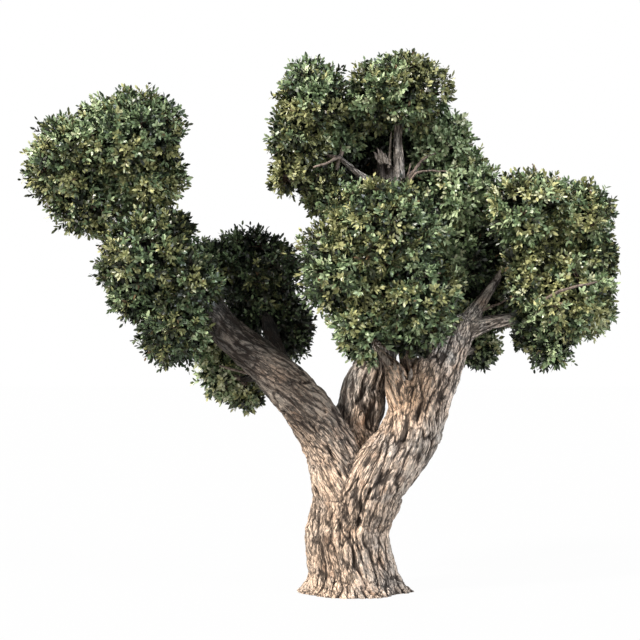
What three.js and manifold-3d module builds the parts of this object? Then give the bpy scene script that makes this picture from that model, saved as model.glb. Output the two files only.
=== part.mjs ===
// An old olive tree, cloud-pruned: a short gnarled trunk that forks into three heavy limbs, boughs that
// leave them, and twelve dense heads of foliage.
// Units are millimetres, +Z is up, the front of the tree faces -Y, and the origin lies in the flat cut
// under the trunk, at ground level.
import * as THREE from "three";
import { mergeVertices } from "three/addons/utils/BufferGeometryUtils.js";
import Module from "manifold-3d";

const wasm = await Module();
wasm.setup();

// ---------------------------------------------------------------- driving sizes

const jointGap = 0.3; // between two pieces of wood that meet
const foliageGap = 16; // between a limb and the foliage core that it runs past
const coreTolerance = 5; // facets of a core finer than this are merged
const foliageTolerance = 3; // and of a whole head

// The trunk: a fluted column that leans a little, narrowest at its waist, with root toes at the ground.
const trunk = {
  height: 740,
  domeHeight: 90,
  waistHeight: 450,
  waist: 322,
  foot: 385,
  footHeight: 170,
  shoulder: 350,
  depthShare: 0.88,
  waistShift: -50,
  shoulderShift: 28,
  ribs: 7,
  ribDepth: 0.035,
  ribTwist: 0.0009,
};
// Root toes: the way they point in degrees from +X, how far they reach past the foot, and their half width.
const toes = [
  { toward: -8, reach: 105, spread: 16 },
  { toward: 52, reach: 80, spread: 22 },
  { toward: 118, reach: 95, spread: 20 },
  { toward: 178, reach: 85, spread: 20 },
  { toward: 232, reach: 60, spread: 22 },
  { toward: 292, reach: 55, spread: 24 },
];
const toeHeight = 75; // a toe fades out over this height
const limbRibs = 0.05; // how far the ribs of a limb rise, as a share of its radius
const domeShare = 0.35; // how far a limb's end bulges, as a share of its radius

// Limbs and boughs, each one tapering limb along a smooth line through [x, y, z, radius].
// Each is cut clear of the pieces listed before it. Sides and steps set how finely it is made.
const limbs = [
  {
    name: "right_limb",
    line: [
      [-30, -35, 470, 205],
      [55, -80, 700, 262],
      [190, -110, 930, 252],
      [402, -100, 1190, 236],
      [555, -60, 1530, 226],
      [672, -30, 1755, 188],
      [828, 0, 2040, 132],
      [895, 8, 2150, 112],
    ],
    sides: 12,
    steps: 12,
  },
  {
    name: "left_limb",
    line: [
      [-40, -20, 590, 250],
      [-125, -35, 950, 225],
      [-218, -40, 1200, 203],
      [-382, -50, 1490, 188],
      [-732, -40, 1840, 150],
      [-1005, -10, 2075, 135],
      [-1075, 0, 2175, 112],
    ],
    sides: 12,
    steps: 11,
  },
  {
    name: "rear_limb",
    line: [
      [80, 80, 620, 215],
      [38, 165, 1090, 190],
      [18, 215, 1300, 182],
      [62, 228, 1435, 192],
      [95, 255, 1610, 178],
      [180, 260, 1800, 166],
      [215, 258, 2125, 150],
    ],
    sides: 10,
    steps: 8,
  },
  {
    name: "crown_limb",
    line: [
      [205, 258, 2085, 150],
      [265, 210, 2575, 130],
      [295, 140, 2975, 112],
      [305, 85, 3270, 92],
    ],
    sides: 8,
    steps: 5,
  },
  {
    name: "dead_snag",
    line: [
      [410, -115, 1430, 122],
      [352, -140, 1600, 105],
      [317, -150, 1760, 80],
      [250, -160, 1872, 36],
      [161, -175, 1975, 6],
    ],
    sides: 7,
    steps: 6,
  },
  {
    name: "left_upper_bough",
    line: [
      [-1030, 20, 2110, 105],
      [-1255, 110, 2440, 88],
      [-1525, 150, 2775, 68],
      [-1720, 90, 3040, 52],
    ],
    sides: 7,
    steps: 5,
  },
  {
    name: "left_front_bough",
    line: [
      [-1040, -30, 2120, 92],
      [-1225, -110, 2315, 72],
      [-1375, -190, 2410, 50],
    ],
    sides: 6,
    steps: 4,
  },
  {
    name: "left_rear_bough",
    line: [
      [-570, 0, 1670, 95],
      [-630, 230, 1925, 75],
      [-715, 380, 2210, 52],
    ],
    sides: 6,
    steps: 4,
  },
  {
    name: "left_low_bough",
    line: [
      [-665, 40, 1735, 50],
      [-825, 190, 1700, 36],
      [-925, 270, 1680, 26],
    ],
    sides: 6,
    steps: 3,
  },
  {
    name: "front_bough",
    line: [
      [500, -60, 1600, 105],
      [425, -110, 1790, 90],
      [385, -155, 1930, 72],
      [320, -270, 2140, 52],
    ],
    sides: 6,
    steps: 4,
  },
  {
    name: "crown_top_bough",
    line: [
      [322, 80, 3200, 84],
      [352, 30, 3420, 46],
      [356, 15, 3600, 38],
      [360, 10, 3760, 32],
    ],
    sides: 6,
    steps: 4,
  },
  {
    name: "crown_stub",
    line: [
      [300, 90, 3180, 88],
      [262, 55, 3400, 76],
      [238, 45, 3550, 60],
    ],
    sides: 6,
    steps: 4,
  },
  {
    name: "crown_left_bough",
    line: [
      [290, 70, 3205, 62],
      [60, -60, 3315, 36],
      [-130, -70, 3475, 26],
    ],
    sides: 6,
    steps: 3,
  },
  {
    name: "crown_right_bough",
    line: [
      [315, 90, 3175, 62],
      [485, 100, 3365, 40],
      [605, 170, 3465, 30],
    ],
    sides: 6,
    steps: 3,
  },
  {
    name: "crown_rear_bough",
    line: [
      [290, 130, 3090, 60],
      [235, 250, 3270, 44],
      [190, 330, 3370, 32],
    ],
    sides: 6,
    steps: 3,
  },
  {
    name: "right_upper_bough",
    line: [
      [890, 10, 2120, 92],
      [1025, 10, 2310, 70],
      [1165, -30, 2525, 50],
    ],
    sides: 6,
    steps: 4,
  },
  {
    name: "right_lower_bough",
    line: [
      [860, -5, 2070, 92],
      [1100, -40, 2185, 68],
      [1335, -80, 2280, 46],
    ],
    sides: 6,
    steps: 4,
  },
  {
    name: "right_rear_bough",
    line: [
      [760, 20, 1900, 70],
      [900, 230, 1925, 48],
      [990, 340, 1920, 34],
    ],
    sides: 6,
    steps: 3,
  },
  {
    name: "rear_bough",
    line: [
      [190, 262, 2060, 100],
      [345, 450, 2335, 75],
      [430, 580, 2485, 52],
    ],
    sides: 6,
    steps: 4,
  },
];

// Heads of foliage: each fills the lobes listed, as [centre], [half sizes], and its stem leaves the tip of
// the bough named.
const heads = [
  {
    name: "far_left_foliage",
    bough: "left_upper_bough",
    lobes: [
      { at: [-1790, 0, 3610], half: [510, 430, 450] },
      { at: [-2235, 20, 3410], half: [435, 400, 435] },
      { at: [-2140, -40, 3030], half: [335, 260, 240] },
      { at: [-1680, 20, 3275], half: [400, 330, 290] },
    ],
  },
  {
    name: "left_front_foliage",
    bough: "left_front_bough",
    lobes: [
      { at: [-1645, -200, 2625], half: [430, 400, 455] },
      { at: [-1455, -190, 2150], half: [355, 350, 355] },
      { at: [-1310, -230, 2435], half: [285, 300, 330] },
      { at: [-1465, -60, 2870], half: [215, 200, 215] },
    ],
  },
  {
    name: "left_rear_foliage",
    bough: "left_rear_bough",
    lobes: [
      { at: [-810, 480, 2565], half: [450, 360, 380] },
      { at: [-530, 480, 2120], half: [210, 260, 370] },
      { at: [-1165, 420, 2645], half: [250, 240, 230] },
      { at: [-850, 430, 2185], half: [190, 200, 190] },
    ],
  },
  {
    name: "left_low_foliage",
    bough: "left_low_bough",
    lobes: [
      { at: [-1060, 380, 1705], half: [255, 230, 290] },
      { at: [-870, 360, 1550], half: [150, 150, 165] },
      { at: [-1210, 300, 1960], half: [150, 160, 170] },
    ],
  },
  {
    name: "front_foliage",
    bough: "front_bough",
    lobes: [
      { at: [230, -430, 2825], half: [480, 420, 480] },
      { at: [-90, -420, 2575], half: [390, 360, 420] },
      { at: [455, -400, 2355], half: [380, 380, 435] },
      { at: [70, -420, 2090], half: [275, 300, 335] },
    ],
  },
  {
    name: "top_left_foliage",
    bough: "crown_left_bough",
    lobes: [
      { at: [-325, -60, 3895], half: [310, 340, 375] },
      { at: [-430, -60, 3595], half: [305, 320, 330] },
      { at: [-225, -20, 3190], half: [215, 250, 270] },
      { at: [-510, -80, 3315], half: [190, 190, 190] },
      { at: [-110, 150, 3655], half: [245, 260, 340] },
    ],
  },
  {
    name: "top_foliage",
    bough: "crown_top_bough",
    lobes: [
      { at: [405, 20, 4000], half: [385, 400, 370] },
      { at: [160, -10, 3925], half: [280, 320, 315] },
    ],
  },
  {
    name: "crown_rear_foliage",
    bough: "crown_rear_bough",
    lobes: [
      { at: [125, 420, 3570], half: [315, 260, 365] },
    ],
  },
  {
    name: "upper_right_foliage",
    bough: "crown_right_bough",
    lobes: [
      { at: [715, 260, 3600], half: [330, 320, 345] },
      { at: [905, 280, 3200], half: [345, 360, 375] },
      { at: [835, 300, 2645], half: [365, 360, 445] },
    ],
  },
  {
    name: "right_high_foliage",
    bough: "right_upper_bough",
    lobes: [
      { at: [1395, -90, 2945], half: [390, 420, 415] },
      { at: [1775, -60, 2950], half: [310, 360, 385] },
      { at: [1290, 130, 2480], half: [180, 190, 190] },
    ],
  },
  {
    name: "right_low_foliage",
    bough: "right_lower_bough",
    lobes: [
      { at: [1675, -100, 2320], half: [450, 420, 425] },
      { at: [1540, -80, 1975], half: [255, 250, 240] },
      { at: [1945, -80, 2645], half: [185, 240, 230] },
      { at: [1330, 60, 2060], half: [150, 160, 140] },
    ],
  },
  {
    name: "right_rear_foliage",
    bough: "right_rear_bough",
    lobes: [
      { at: [1020, 470, 1950], half: [225, 240, 250] },
    ],
  },
  {
    name: "rear_foliage",
    bough: "rear_bough",
    lobes: [
      { at: [540, 760, 2660], half: [470, 420, 490] },
      { at: [655, 700, 3265], half: [390, 340, 390] },
    ],
  },
];

// The foliage rule. Shares are of the way from a lobe's heart to its outline.
const coreShare = 0.85; // the dense middle of a head, at the foot of its tufts
const coreBumps = 0.05; // how far its skin rises and falls
const tuftHeight = 0.17;
const tuftSlant = 0.9; // how far a tuft leans to one corner of its facet
const smallLobe = 275; // a lobe smaller than this gets fewer tufts
const headGap = 14; // between the cores of two heads
const clearShare = 1.05; // no growth of one head reaches further into another head's lobe than this
const reachShare = 1.13; // nothing ends further out than this
const twigsPerSquareMetre = 1.6;
const twigRoot = 0.72;
const twigTip = 1;
const twigRadius = 15;
const linkRadius = 26; // the inner branches that join the lobes of a head
const spraysPerTwig = 3; // a spray is one blade that stands for many leaves
const sprayRoot = 0.95;
const sprayTip = 1.04;
const spraySpread = 175; // how far a spray's tip stands aside from its twig
const sprayRoll = 0.8; // how far a spray may be turned on its length, in radians
const sprayWidthShare = 0.55;
const sprayThickness = 16;
const woodMargin = 12; // foliage keeps this far from the wood

// ---------------------------------------------------------------- materials

const bark = new THREE.MeshStandardMaterial({
  color: 0x8f7a68,
  roughness: 0.92,
  metalness: 0,
});
const deadWood = new THREE.MeshStandardMaterial({
  color: 0xa88d74,
  roughness: 0.9,
  metalness: 0,
});
const leaf = new THREE.MeshStandardMaterial({
  color: 0x5b6b43,
  roughness: 0.55,
  metalness: 0,
});

// ---------------------------------------------------------------- small helpers

const goldenAngle = Math.PI * (3 - Math.sqrt(5));
const toRadians = Math.PI / 180;

/** A smooth step from 0 at low to 1 at high. */
function rise(value, low, high) {
  return THREE.MathUtils.smoothstep(value, low, high);
}

/** A bell of height 1 and the given half width, on an angle that wraps round. */
function bell(angle, halfWidth) {
  const wrapped = Math.atan2(Math.sin(angle), Math.cos(angle));
  return Math.exp(-((wrapped / halfWidth) ** 2));
}

/** A seeded number from 0 to 1, the same on every run. */
function seeded(seed, index) {
  const wave = Math.sin(seed * 127.1 + index * 311.7) * 43758.5453;
  return wave - Math.floor(wave);
}

/** Direction number index of count, spread evenly round a sphere by the golden angle. */
function spiralDirection(index, count, turn) {
  const height = 1 - (2 * (index + 0.5)) / count;
  const width = Math.sqrt(1 - height * height);
  const angle = index * goldenAngle + turn;
  return new THREE.Vector3(
    width * Math.cos(angle),
    width * Math.sin(angle),
    height,
  );
}

// ---------------------------------------------------------------- solids

/** A closed solid from a geometry. */
function solidOf(geometry) {
  const bare = geometry.index ? geometry.toNonIndexed() : geometry.clone();
  bare.deleteAttribute("normal");
  bare.deleteAttribute("uv");
  const merged = mergeVertices(bare, 1e-3);
  return new wasm.Manifold(
    new wasm.Mesh({
      numProp: 3,
      vertProperties: merged.attributes.position.array,
      triVerts: new Uint32Array(merged.index.array),
    }),
  );
}

/** The largest closed body of a solid: scraps go, and sealed hollows are filled. */
function largestBody(solid) {
  const bodies = solid.decompose();
  return bodies.reduce((best, body) =>
    body.volume() > best.volume() ? body : best,
  );
}

/** A geometry from a solid. */
function geometryOf(solid) {
  const mesh = solid.getMesh();
  const geometry = new THREE.BufferGeometry();
  geometry.setAttribute(
    "position",
    new THREE.BufferAttribute(mesh.vertProperties, 3),
  );
  geometry.setIndex(new THREE.BufferAttribute(mesh.triVerts, 1));
  geometry.computeVertexNormals();
  return geometry;
}

/** A closed skin over rings of points, all with the same number of sides, with a flat fan at each end. */
function skin(rings) {
  const sides = rings[0].length;
  const points = rings.flat();
  const first = points.length;
  const middle = (ring) =>
    ring
      .reduce((sum, point) => sum.add(point), new THREE.Vector3())
      .divideScalar(sides);
  points.push(middle(rings[0]), middle(rings.at(-1)));
  const faces = [];
  for (let side = 0; side < sides; side++) {
    const next = (side + 1) % sides;
    for (let ring = 0; ring < rings.length - 1; ring++) {
      const low = ring * sides;
      const high = low + sides;
      faces.push(low + side, low + next, high + next);
      faces.push(low + side, high + next, high + side);
    }
    const last = (rings.length - 1) * sides;
    faces.push(first, next, side);
    faces.push(first + 1, last + side, last + next);
  }
  const geometry = new THREE.BufferGeometry().setFromPoints(points);
  geometry.setIndex(faces);
  return geometry;
}

// ---------------------------------------------------------------- wood

/** The trunk's half width at a height and an angle from +X. */
function trunkReach(angle, height) {
  const { waist, foot, shoulder } = trunk;
  const body =
    waist +
    (foot - waist) * Math.exp(-height / trunk.footHeight) +
    (shoulder - waist) * rise(height, trunk.waistHeight, trunk.height);
  const toe = toes.reduce(
    (sum, { toward, reach, spread }) =>
      sum + reach * bell(angle - toward * toRadians, spread * toRadians),
    0,
  );
  const flute =
    1 +
    trunk.ribDepth * Math.cos(trunk.ribs * (angle - trunk.ribTwist * height));
  return body * flute + toe * Math.exp(-height / toeHeight);
}

/** One ring of the trunk at a height, drawn in to a share of its width. */
function trunkRing(height, share, grow) {
  const lean =
    trunk.waistShift * rise(height, 0, trunk.waistHeight) +
    (trunk.shoulderShift - trunk.waistShift) *
      rise(height, trunk.waistHeight, trunk.height);
  const sides = 28;
  return Array.from({ length: sides }, (_, side) => {
    const angle = (side / sides) * 2 * Math.PI;
    const reach =
      trunkReach(angle, Math.min(height, trunk.height)) * share + grow;
    return new THREE.Vector3(
      lean + reach * Math.cos(angle),
      reach * trunk.depthShare * Math.sin(angle),
      height,
    );
  });
}

/** The trunk from its flat cut at the ground to the low dome in its fork, made larger by grow. */
function trunkSolid(grow = 0) {
  const heights = [0, 40, 95, 165, 250, 350, 450, 550, 650, trunk.height];
  const rings = heights.map((height) => trunkRing(height, 1, grow));
  for (const [rise, share] of [
    [0.55, 0.8],
    [1, 0.35],
  ]) {
    rings.push(
      trunkRing(trunk.height + trunk.domeHeight * rise + grow, share, grow),
    );
  }
  return solidOf(skin(rings));
}

/** The smooth line of a limb, as points with a radius, in even steps. */
function limbPath({ line, steps }) {
  const curve = new THREE.CatmullRomCurve3(
    line.map(([x, y, z]) => new THREE.Vector3(x, y, z)),
    false,
    "centripetal",
  );
  const frames = curve.computeFrenetFrames(steps, false);
  return Array.from({ length: steps + 1 }, (_, step) => {
    const share = curve.getUtoTmapping(step / steps) * (line.length - 1);
    const before = Math.min(Math.floor(share), line.length - 2);
    const radius = THREE.MathUtils.lerp(
      line[before][3],
      line[before + 1][3],
      share - before,
    );
    return {
      at: curve.getPointAt(step / steps),
      ahead: frames.tangents[step],
      across: frames.normals[step],
      beside: frames.binormals[step],
      radius,
    };
  });
}

/** One ring of a limb with slow ribs that wind along it, pushed on and drawn in to a share. */
function limbRing({ sides }, place, step, pushed, share, grow) {
  const middle = place.at.clone().addScaledVector(place.ahead, pushed);
  return Array.from({ length: sides }, (_, side) => {
    const angle = (side / sides) * 2 * Math.PI;
    const rib = 1 + limbRibs * Math.cos(3 * angle + 0.55 * step);
    const reach = place.radius * rib * share + grow;
    return middle
      .clone()
      .addScaledVector(place.across, reach * Math.cos(angle))
      .addScaledVector(place.beside, reach * Math.sin(angle));
  });
}

/** A limb, with a low dome at its far end, made larger by grow. */
function limbSolid(limb, grow = 0) {
  const path = limbPath(limb);
  const rings = path.map((place, step) =>
    limbRing(limb, place, step, step === 0 ? -grow : 0, 1, grow),
  );
  const tip = path.at(-1);
  const dome = tip.radius * domeShare + grow;
  rings.push(limbRing(limb, tip, limb.steps, dome, 0.6, grow));
  return solidOf(skin(rings));
}

// ---------------------------------------------------------------- foliage

/** How far out a point lies in a lobe: 0 at its heart, 1 on its outline. */
function shareOut(point, { at, half }) {
  return Math.hypot(
    (point.x - at[0]) / half[0],
    (point.y - at[1]) / half[1],
    (point.z - at[2]) / half[2],
  );
}

/** The same for a whole head: the least over its lobes. */
function shareOutOfHead(point, head) {
  return Math.min(...head.lobes.map((lobe) => shareOut(point, lobe)));
}

/** The point of a lobe in a direction, at a share of the way out. */
function inLobe({ at, half }, direction, share) {
  return new THREE.Vector3(
    at[0] + half[0] * direction.x * share,
    at[1] + half[1] * direction.y * share,
    at[2] + half[2] * direction.z * share,
  );
}

/** A straight tapering stick between two points. */
function stick(start, end, startRadius, endRadius, sides) {
  const ahead = end.clone().sub(start).normalize();
  const side = Math.abs(ahead.z) < 0.9 ? [0, 0, 1] : [1, 0, 0];
  const across = new THREE.Vector3(...side).cross(ahead).normalize();
  const beside = ahead.clone().cross(across);
  const ring = (middle, radius) =>
    Array.from({ length: sides }, (_, i) => {
      const angle = (i / sides) * 2 * Math.PI;
      return middle
        .clone()
        .addScaledVector(across, radius * Math.cos(angle))
        .addScaledVector(beside, radius * Math.sin(angle));
    });
  return skin([ring(start, startRadius), ring(end, endRadius)]);
}

/** One spray of leaves as a slim eight-faced blade from its root to its tip, flat to a face. */
function sprayBlade(root, tip, faceWay) {
  const ahead = tip.clone().sub(root);
  const length = ahead.length();
  const across = new THREE.Vector3().crossVectors(faceWay, ahead).normalize();
  const up = new THREE.Vector3().crossVectors(ahead, across).normalize();
  const point = (along, wide, high) =>
    root
      .clone()
      .addScaledVector(ahead, along)
      .addScaledVector(across, wide * sprayWidthShare * length)
      .addScaledVector(up, high * sprayThickness);
  const points = [
    point(0.55, 0.5, 0),
    point(0.5, 0, 0.5),
    point(0.55, -0.5, 0),
    point(0.5, 0, -0.5),
    root,
    tip,
  ];
  const faces = [0, 1, 2, 3].flatMap((i) => {
    const next = (i + 1) % 4;
    return [4, next, i, 5, i, next];
  });
  const geometry = new THREE.BufferGeometry().setFromPoints(points);
  geometry.setIndex(faces);
  return { geometry, points };
}

/** True if every point keeps to its own head's space and stays off the wood. */
function hasRoom(points, head, woodPlaces) {
  return points.every((point) => {
    const own = shareOutOfHead(point, head);
    const others = heads.filter((other) => other !== head);
    const clearOfHeads = others.every(
      (other) => shareOutOfHead(point, other) > Math.max(own, clearShare),
    );
    const clearOfWood = woodPlaces.every(
      ({ at, radius }) => at.distanceTo(point) > radius + woodMargin,
    );
    return own < reachShare && clearOfHeads && clearOfWood;
  });
}

/** Points along a segment, ends included. */
function along(start, end, count) {
  return Array.from({ length: count }, (_, i) =>
    start.clone().lerp(end, i / (count - 1)),
  );
}

/** How many things stand on a lobe when there are so many to the square metre. */
function countOnLobe({ half }, perSquareMetre) {
  const [a, b, c] = half.map((size) => size / 1000);
  const area = (4 * Math.PI * (a * b + b * c + c * a)) / 3;
  return Math.round(area * perSquareMetre);
}

/** True if a point lies inside another lobe of the same head. */
function isBuried(point, head, lobe) {
  return head.lobes.some(
    (other) => other !== lobe && shareOut(point, other) < 1,
  );
}

/** True if a point lies inside any lobe but the one given, of this head or another. */
function isCrowded(point, lobe) {
  return heads.some((head) =>
    head.lobes.some((other) => other !== lobe && shareOut(point, other) < 1),
  );
}

/** The point of a list nearest to a place. */
function nearestTo(place, points) {
  return points.reduce((best, point) =>
    point.distanceTo(place) < best.distanceTo(place) ? point : best,
  );
}

/** The twigs of one lobe, spread evenly over it. */
function twigsOfLobe(head, lobe, seed, woodPlaces) {
  const count = countOnLobe(lobe, twigsPerSquareMetre);
  return Array.from({ length: count }, (_, i) => {
    const direction = spiralDirection(i, count, seed);
    return {
      direction,
      turn: 2 * Math.PI * seeded(seed, i),
      root: inLobe(lobe, direction, twigRoot),
      tip: inLobe(lobe, direction, twigTip),
    };
  }).filter(
    ({ root, tip }) =>
      !isBuried(tip, head, lobe) &&
      hasRoom(along(root, tip, 4), head, woodPlaces),
  );
}

/** The star of sprays at the end of a twig, less those that have no room. */
function spraysOfTwig(head, lobe, { direction, turn }, woodPlaces) {
  const size = Math.cbrt(lobe.half[0] * lobe.half[1] * lobe.half[2]);
  const spread = Math.min(spraySpread / size, 0.55);
  const side = Math.abs(direction.z) < 0.9 ? [0, 0, 1] : [1, 0, 0];
  const across = new THREE.Vector3(...side).cross(direction).normalize();
  across.applyAxisAngle(direction, turn);
  const sprays = [];
  for (let k = 0; k < spraysPerTwig; k++) {
    const aside = across
      .clone()
      .applyAxisAngle(direction, (k * 2 * Math.PI) / spraysPerTwig);
    const toward = direction.clone().addScaledVector(aside, Math.tan(spread));
    const rise = 0.04 * Math.cos(2 * turn + k * 2);
    const root = inLobe(lobe, direction, sprayRoot + rise / 2);
    const tip = inLobe(lobe, toward.normalize(), sprayTip + rise);
    const ahead = tip.clone().sub(root).normalize();
    const roll = sprayRoll * Math.sin(5 * turn + k);
    const faceWay = direction.clone().applyAxisAngle(ahead, roll);
    const { geometry, points } = sprayBlade(root, tip, faceWay);
    const isFree =
      !isBuried(tip, head, lobe) &&
      hasRoom([...along(root, tip, 6), ...points], head, woodPlaces);
    if (isFree) sprays.push(geometry);
  }
  return sprays;
}

/** A lobe's core, made larger by grow: a ball with a slanting tuft on each facet that is not crowded. */
function lumpOfLobe(lobe, grow, seed) {
  const shape = { at: lobe.at, half: lobe.half.map((size) => size + grow) };
  const detail = Math.max(...lobe.half) < smallLobe ? 0 : 1;
  const ball = new THREE.IcosahedronGeometry(1, detail);
  const corner = (i) =>
    new THREE.Vector3().fromBufferAttribute(ball.attributes.position, i);
  const dip = ({ x, y, z }) =>
    Math.sin(4.3 * x + seed) + Math.sin(5.1 * y - seed) + Math.sin(4.7 * z);
  const points = [];
  for (let i = 0; i < ball.attributes.position.count; i += 3) {
    const facet = [corner(i), corner(i + 1), corner(i + 2)];
    const toward = facet[Math.floor(3 * seeded(seed, i))];
    const middle = facet
      .reduce((sum, point) => sum.add(point), new THREE.Vector3())
      .addScaledVector(toward, tuftSlant)
      .normalize();
    const height = tuftHeight * (0.35 + 0.65 * seeded(seed + 1, i));
    const feet = facet.map((point) =>
      inLobe(shape, point, coreShare + (coreBumps * dip(point)) / 3),
    );
    if (isCrowded(inLobe(lobe, middle, 1), lobe)) {
      points.push(...feet);
      continue;
    }
    const peak = inLobe(shape, middle, coreShare + height);
    for (let k = 0; k < 3; k++) points.push(feet[k], feet[(k + 1) % 3], peak);
  }
  return solidOf(new THREE.BufferGeometry().setFromPoints(points));
}

/** The dense middle of a head, made larger by grow. */
function coreOfHead(head, number, grow = 0) {
  return wasm.Manifold.union(
    head.lobes.map((lobe, i) => lumpOfLobe(lobe, grow, number * 5 + i)),
  );
}

/** The stem of a head, from just inside the tip of its bough to the heart of the nearest lobe. */
function stemOfHead(head, tip) {
  const start = tip.at.clone().addScaledVector(tip.ahead, -tip.radius * 0.3);
  const bend = tip.at.clone().addScaledVector(tip.ahead, tip.radius * 1.2);
  const hearts = head.lobes.map(({ at }) => new THREE.Vector3(...at));
  const nearest = nearestTo(tip.at, hearts);
  return [
    stick(start, bend, tip.radius * 0.9, tip.radius * 0.8, 6),
    stick(tip.at, nearest, tip.radius * 0.8, linkRadius, 5),
  ];
}

/** The inner branches of a head: each lobe's heart is joined to the nearest one before it. */
function linksOfHead({ lobes }) {
  const hearts = lobes.map(({ at }) => new THREE.Vector3(...at));
  return hearts
    .slice(1)
    .map((heart, i) =>
      stick(
        heart,
        nearestTo(heart, hearts.slice(0, i + 1)),
        linkRadius,
        linkRadius,
        4,
      ),
    );
}

/** A head of foliage: its stem, its core, and the twigs and sprays that stand out of the core. */
function headSolid(head, number, bough, cutters, woodPlaces) {
  const core = coreOfHead(head, number)
    .subtract(wasm.Manifold.union(cutters))
    .asOriginal()
    .simplify(coreTolerance);
  const branches = [
    ...stemOfHead(head, limbPath(bough).at(-1)),
    ...linksOfHead(head),
  ];
  const inner = wasm.Manifold.union(branches.map(solidOf)).subtract(
    wasm.Manifold.union(Object.values(grown)),
  );
  const growth = head.lobes.flatMap((lobe, i) =>
    twigsOfLobe(head, lobe, number * 5 + i, woodPlaces).flatMap((twig) => [
      stick(twig.root, twig.tip, twigRadius, twigRadius * 0.7, 3),
      ...spraysOfTwig(head, lobe, twig, woodPlaces),
    ]),
  );
  const mass = wasm.Manifold.union([core, ...growth.map(solidOf)])
    .asOriginal()
    .simplify(foliageTolerance);
  return largestBody(mass.add(inner));
}

// ---------------------------------------------------------------- assembly

const tree = new THREE.Group();

function addNode(name, solid, material) {
  const mesh = new THREE.Mesh(geometryOf(solid), material);
  mesh.name = name;
  tree.add(mesh);
}

const grown = { trunk: trunkSolid(jointGap) };
addNode("trunk", trunkSolid(), bark);

for (const limb of limbs) {
  const cutters = wasm.Manifold.union(Object.values(grown));
  const solid = limbSolid(limb).subtract(cutters);
  grown[limb.name] = limbSolid(limb, jointGap);
  addNode(
    limb.name,
    largestBody(solid),
    limb.name === "dead_snag" ? deadWood : bark,
  );
}

const woodPlaces = limbs.flatMap((limb) => limbPath({ ...limb, steps: 40 }));
const keptClear = limbs.map((limb) => limbSolid(limb, foliageGap));

heads.forEach((head, number) => {
  const bough = limbs.find(({ name }) => name === head.bough);
  addNode(
    head.name,
    headSolid(head, number, bough, keptClear, woodPlaces),
    leaf,
  );
  keptClear.push(coreOfHead(head, number, headGap));
});

export default tree;
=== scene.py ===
# %% [markdown]
# # An old olive tree, clipped into clouds
# The tree is a short gnarled trunk that forks into heavy limbs. Boughs leave the limbs, and each
# bough ends in a dense head of foliage that has been clipped round. This lesson grows bark,
# branches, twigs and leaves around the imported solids, which already give every size and place, so
# nothing is fitted by eye.

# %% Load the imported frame
import itertools
import math

import bmesh
import bpy
import numpy as np
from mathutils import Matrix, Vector


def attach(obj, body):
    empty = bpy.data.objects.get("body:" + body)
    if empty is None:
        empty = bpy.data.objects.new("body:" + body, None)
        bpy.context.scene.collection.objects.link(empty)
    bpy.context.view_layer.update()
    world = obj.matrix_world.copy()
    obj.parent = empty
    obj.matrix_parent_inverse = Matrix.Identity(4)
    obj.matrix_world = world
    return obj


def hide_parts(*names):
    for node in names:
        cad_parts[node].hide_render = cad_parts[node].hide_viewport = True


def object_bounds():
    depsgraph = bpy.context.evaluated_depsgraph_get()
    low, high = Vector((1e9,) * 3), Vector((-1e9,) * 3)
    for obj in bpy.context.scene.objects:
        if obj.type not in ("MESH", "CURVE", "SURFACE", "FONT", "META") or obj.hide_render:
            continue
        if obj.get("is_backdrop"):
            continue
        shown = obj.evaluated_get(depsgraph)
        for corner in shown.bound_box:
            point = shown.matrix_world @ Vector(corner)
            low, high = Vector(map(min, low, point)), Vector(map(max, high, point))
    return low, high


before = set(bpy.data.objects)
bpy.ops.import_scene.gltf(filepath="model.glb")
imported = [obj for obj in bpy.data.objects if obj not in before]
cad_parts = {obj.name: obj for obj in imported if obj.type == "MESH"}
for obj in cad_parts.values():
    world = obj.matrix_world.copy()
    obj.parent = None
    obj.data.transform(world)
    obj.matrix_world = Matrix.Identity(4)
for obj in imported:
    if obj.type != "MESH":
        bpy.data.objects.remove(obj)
frame_low, frame_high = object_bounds()
MM = 0.001
print(f"{len(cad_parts)} nodes, {frame_high.z - frame_low.z:.2f} m tall")

# %% [markdown]
# ## The camera
# A long lens from far away keeps the trunk and the crown in true proportion. The camera stands
# level, at half the height of the tree, a little to the left of the trunk, and looks straight
# along +Y.

# %% Camera
LENS = 91.4  # in millimetres
CAMERA_AT = (-0.272, -13, 2.168)
camera_data = bpy.data.cameras.new("camera")
camera_data.lens = LENS
camera_data.sensor_width = 36
camera = bpy.data.objects.new("camera", camera_data)
camera.location = CAMERA_AT
camera.rotation_euler = (math.radians(90), 0, 0)
bpy.context.scene.collection.objects.link(camera)
bpy.context.scene.camera = camera
print("camera at", tuple(round(value, 3) for value in camera.location))

# %% [markdown]
# ## Noise for living shapes
# Bark is never regular, yet it has to come out the same on each run. Gradient noise gives a smooth
# random height at any point in space: each corner of a grid cell gets a fixed random slope, and
# the slopes are blended inside the cell. Numpy works it out for all points of a mesh at once.

# %% Even directions and seeded numbers
GOLDEN_ANGLE = math.pi * (3 - math.sqrt(5))
ANY_TURN = (0, 6.3)  # a full turn in radians, for angles that chance picks


def spread_directions(count, turn=0.0):
    """Unit vectors spread evenly over a sphere by the golden angle."""
    index = np.arange(count)
    height = 1 - (2 * index + 1) / count
    width = np.sqrt(1 - height**2)
    angle = index * GOLDEN_ANGLE + turn
    return np.stack([width * np.cos(angle), width * np.sin(angle), height], axis=1)


def unit(vectors):
    """The same vectors at length 1."""
    lengths = np.linalg.norm(vectors, axis=-1, keepdims=True)
    return vectors / np.maximum(lengths, 1e-9)


print("first of 64 directions:", spread_directions(64)[0].round(3))

# %% Gradient noise
SLOPES = spread_directions(64)


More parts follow.
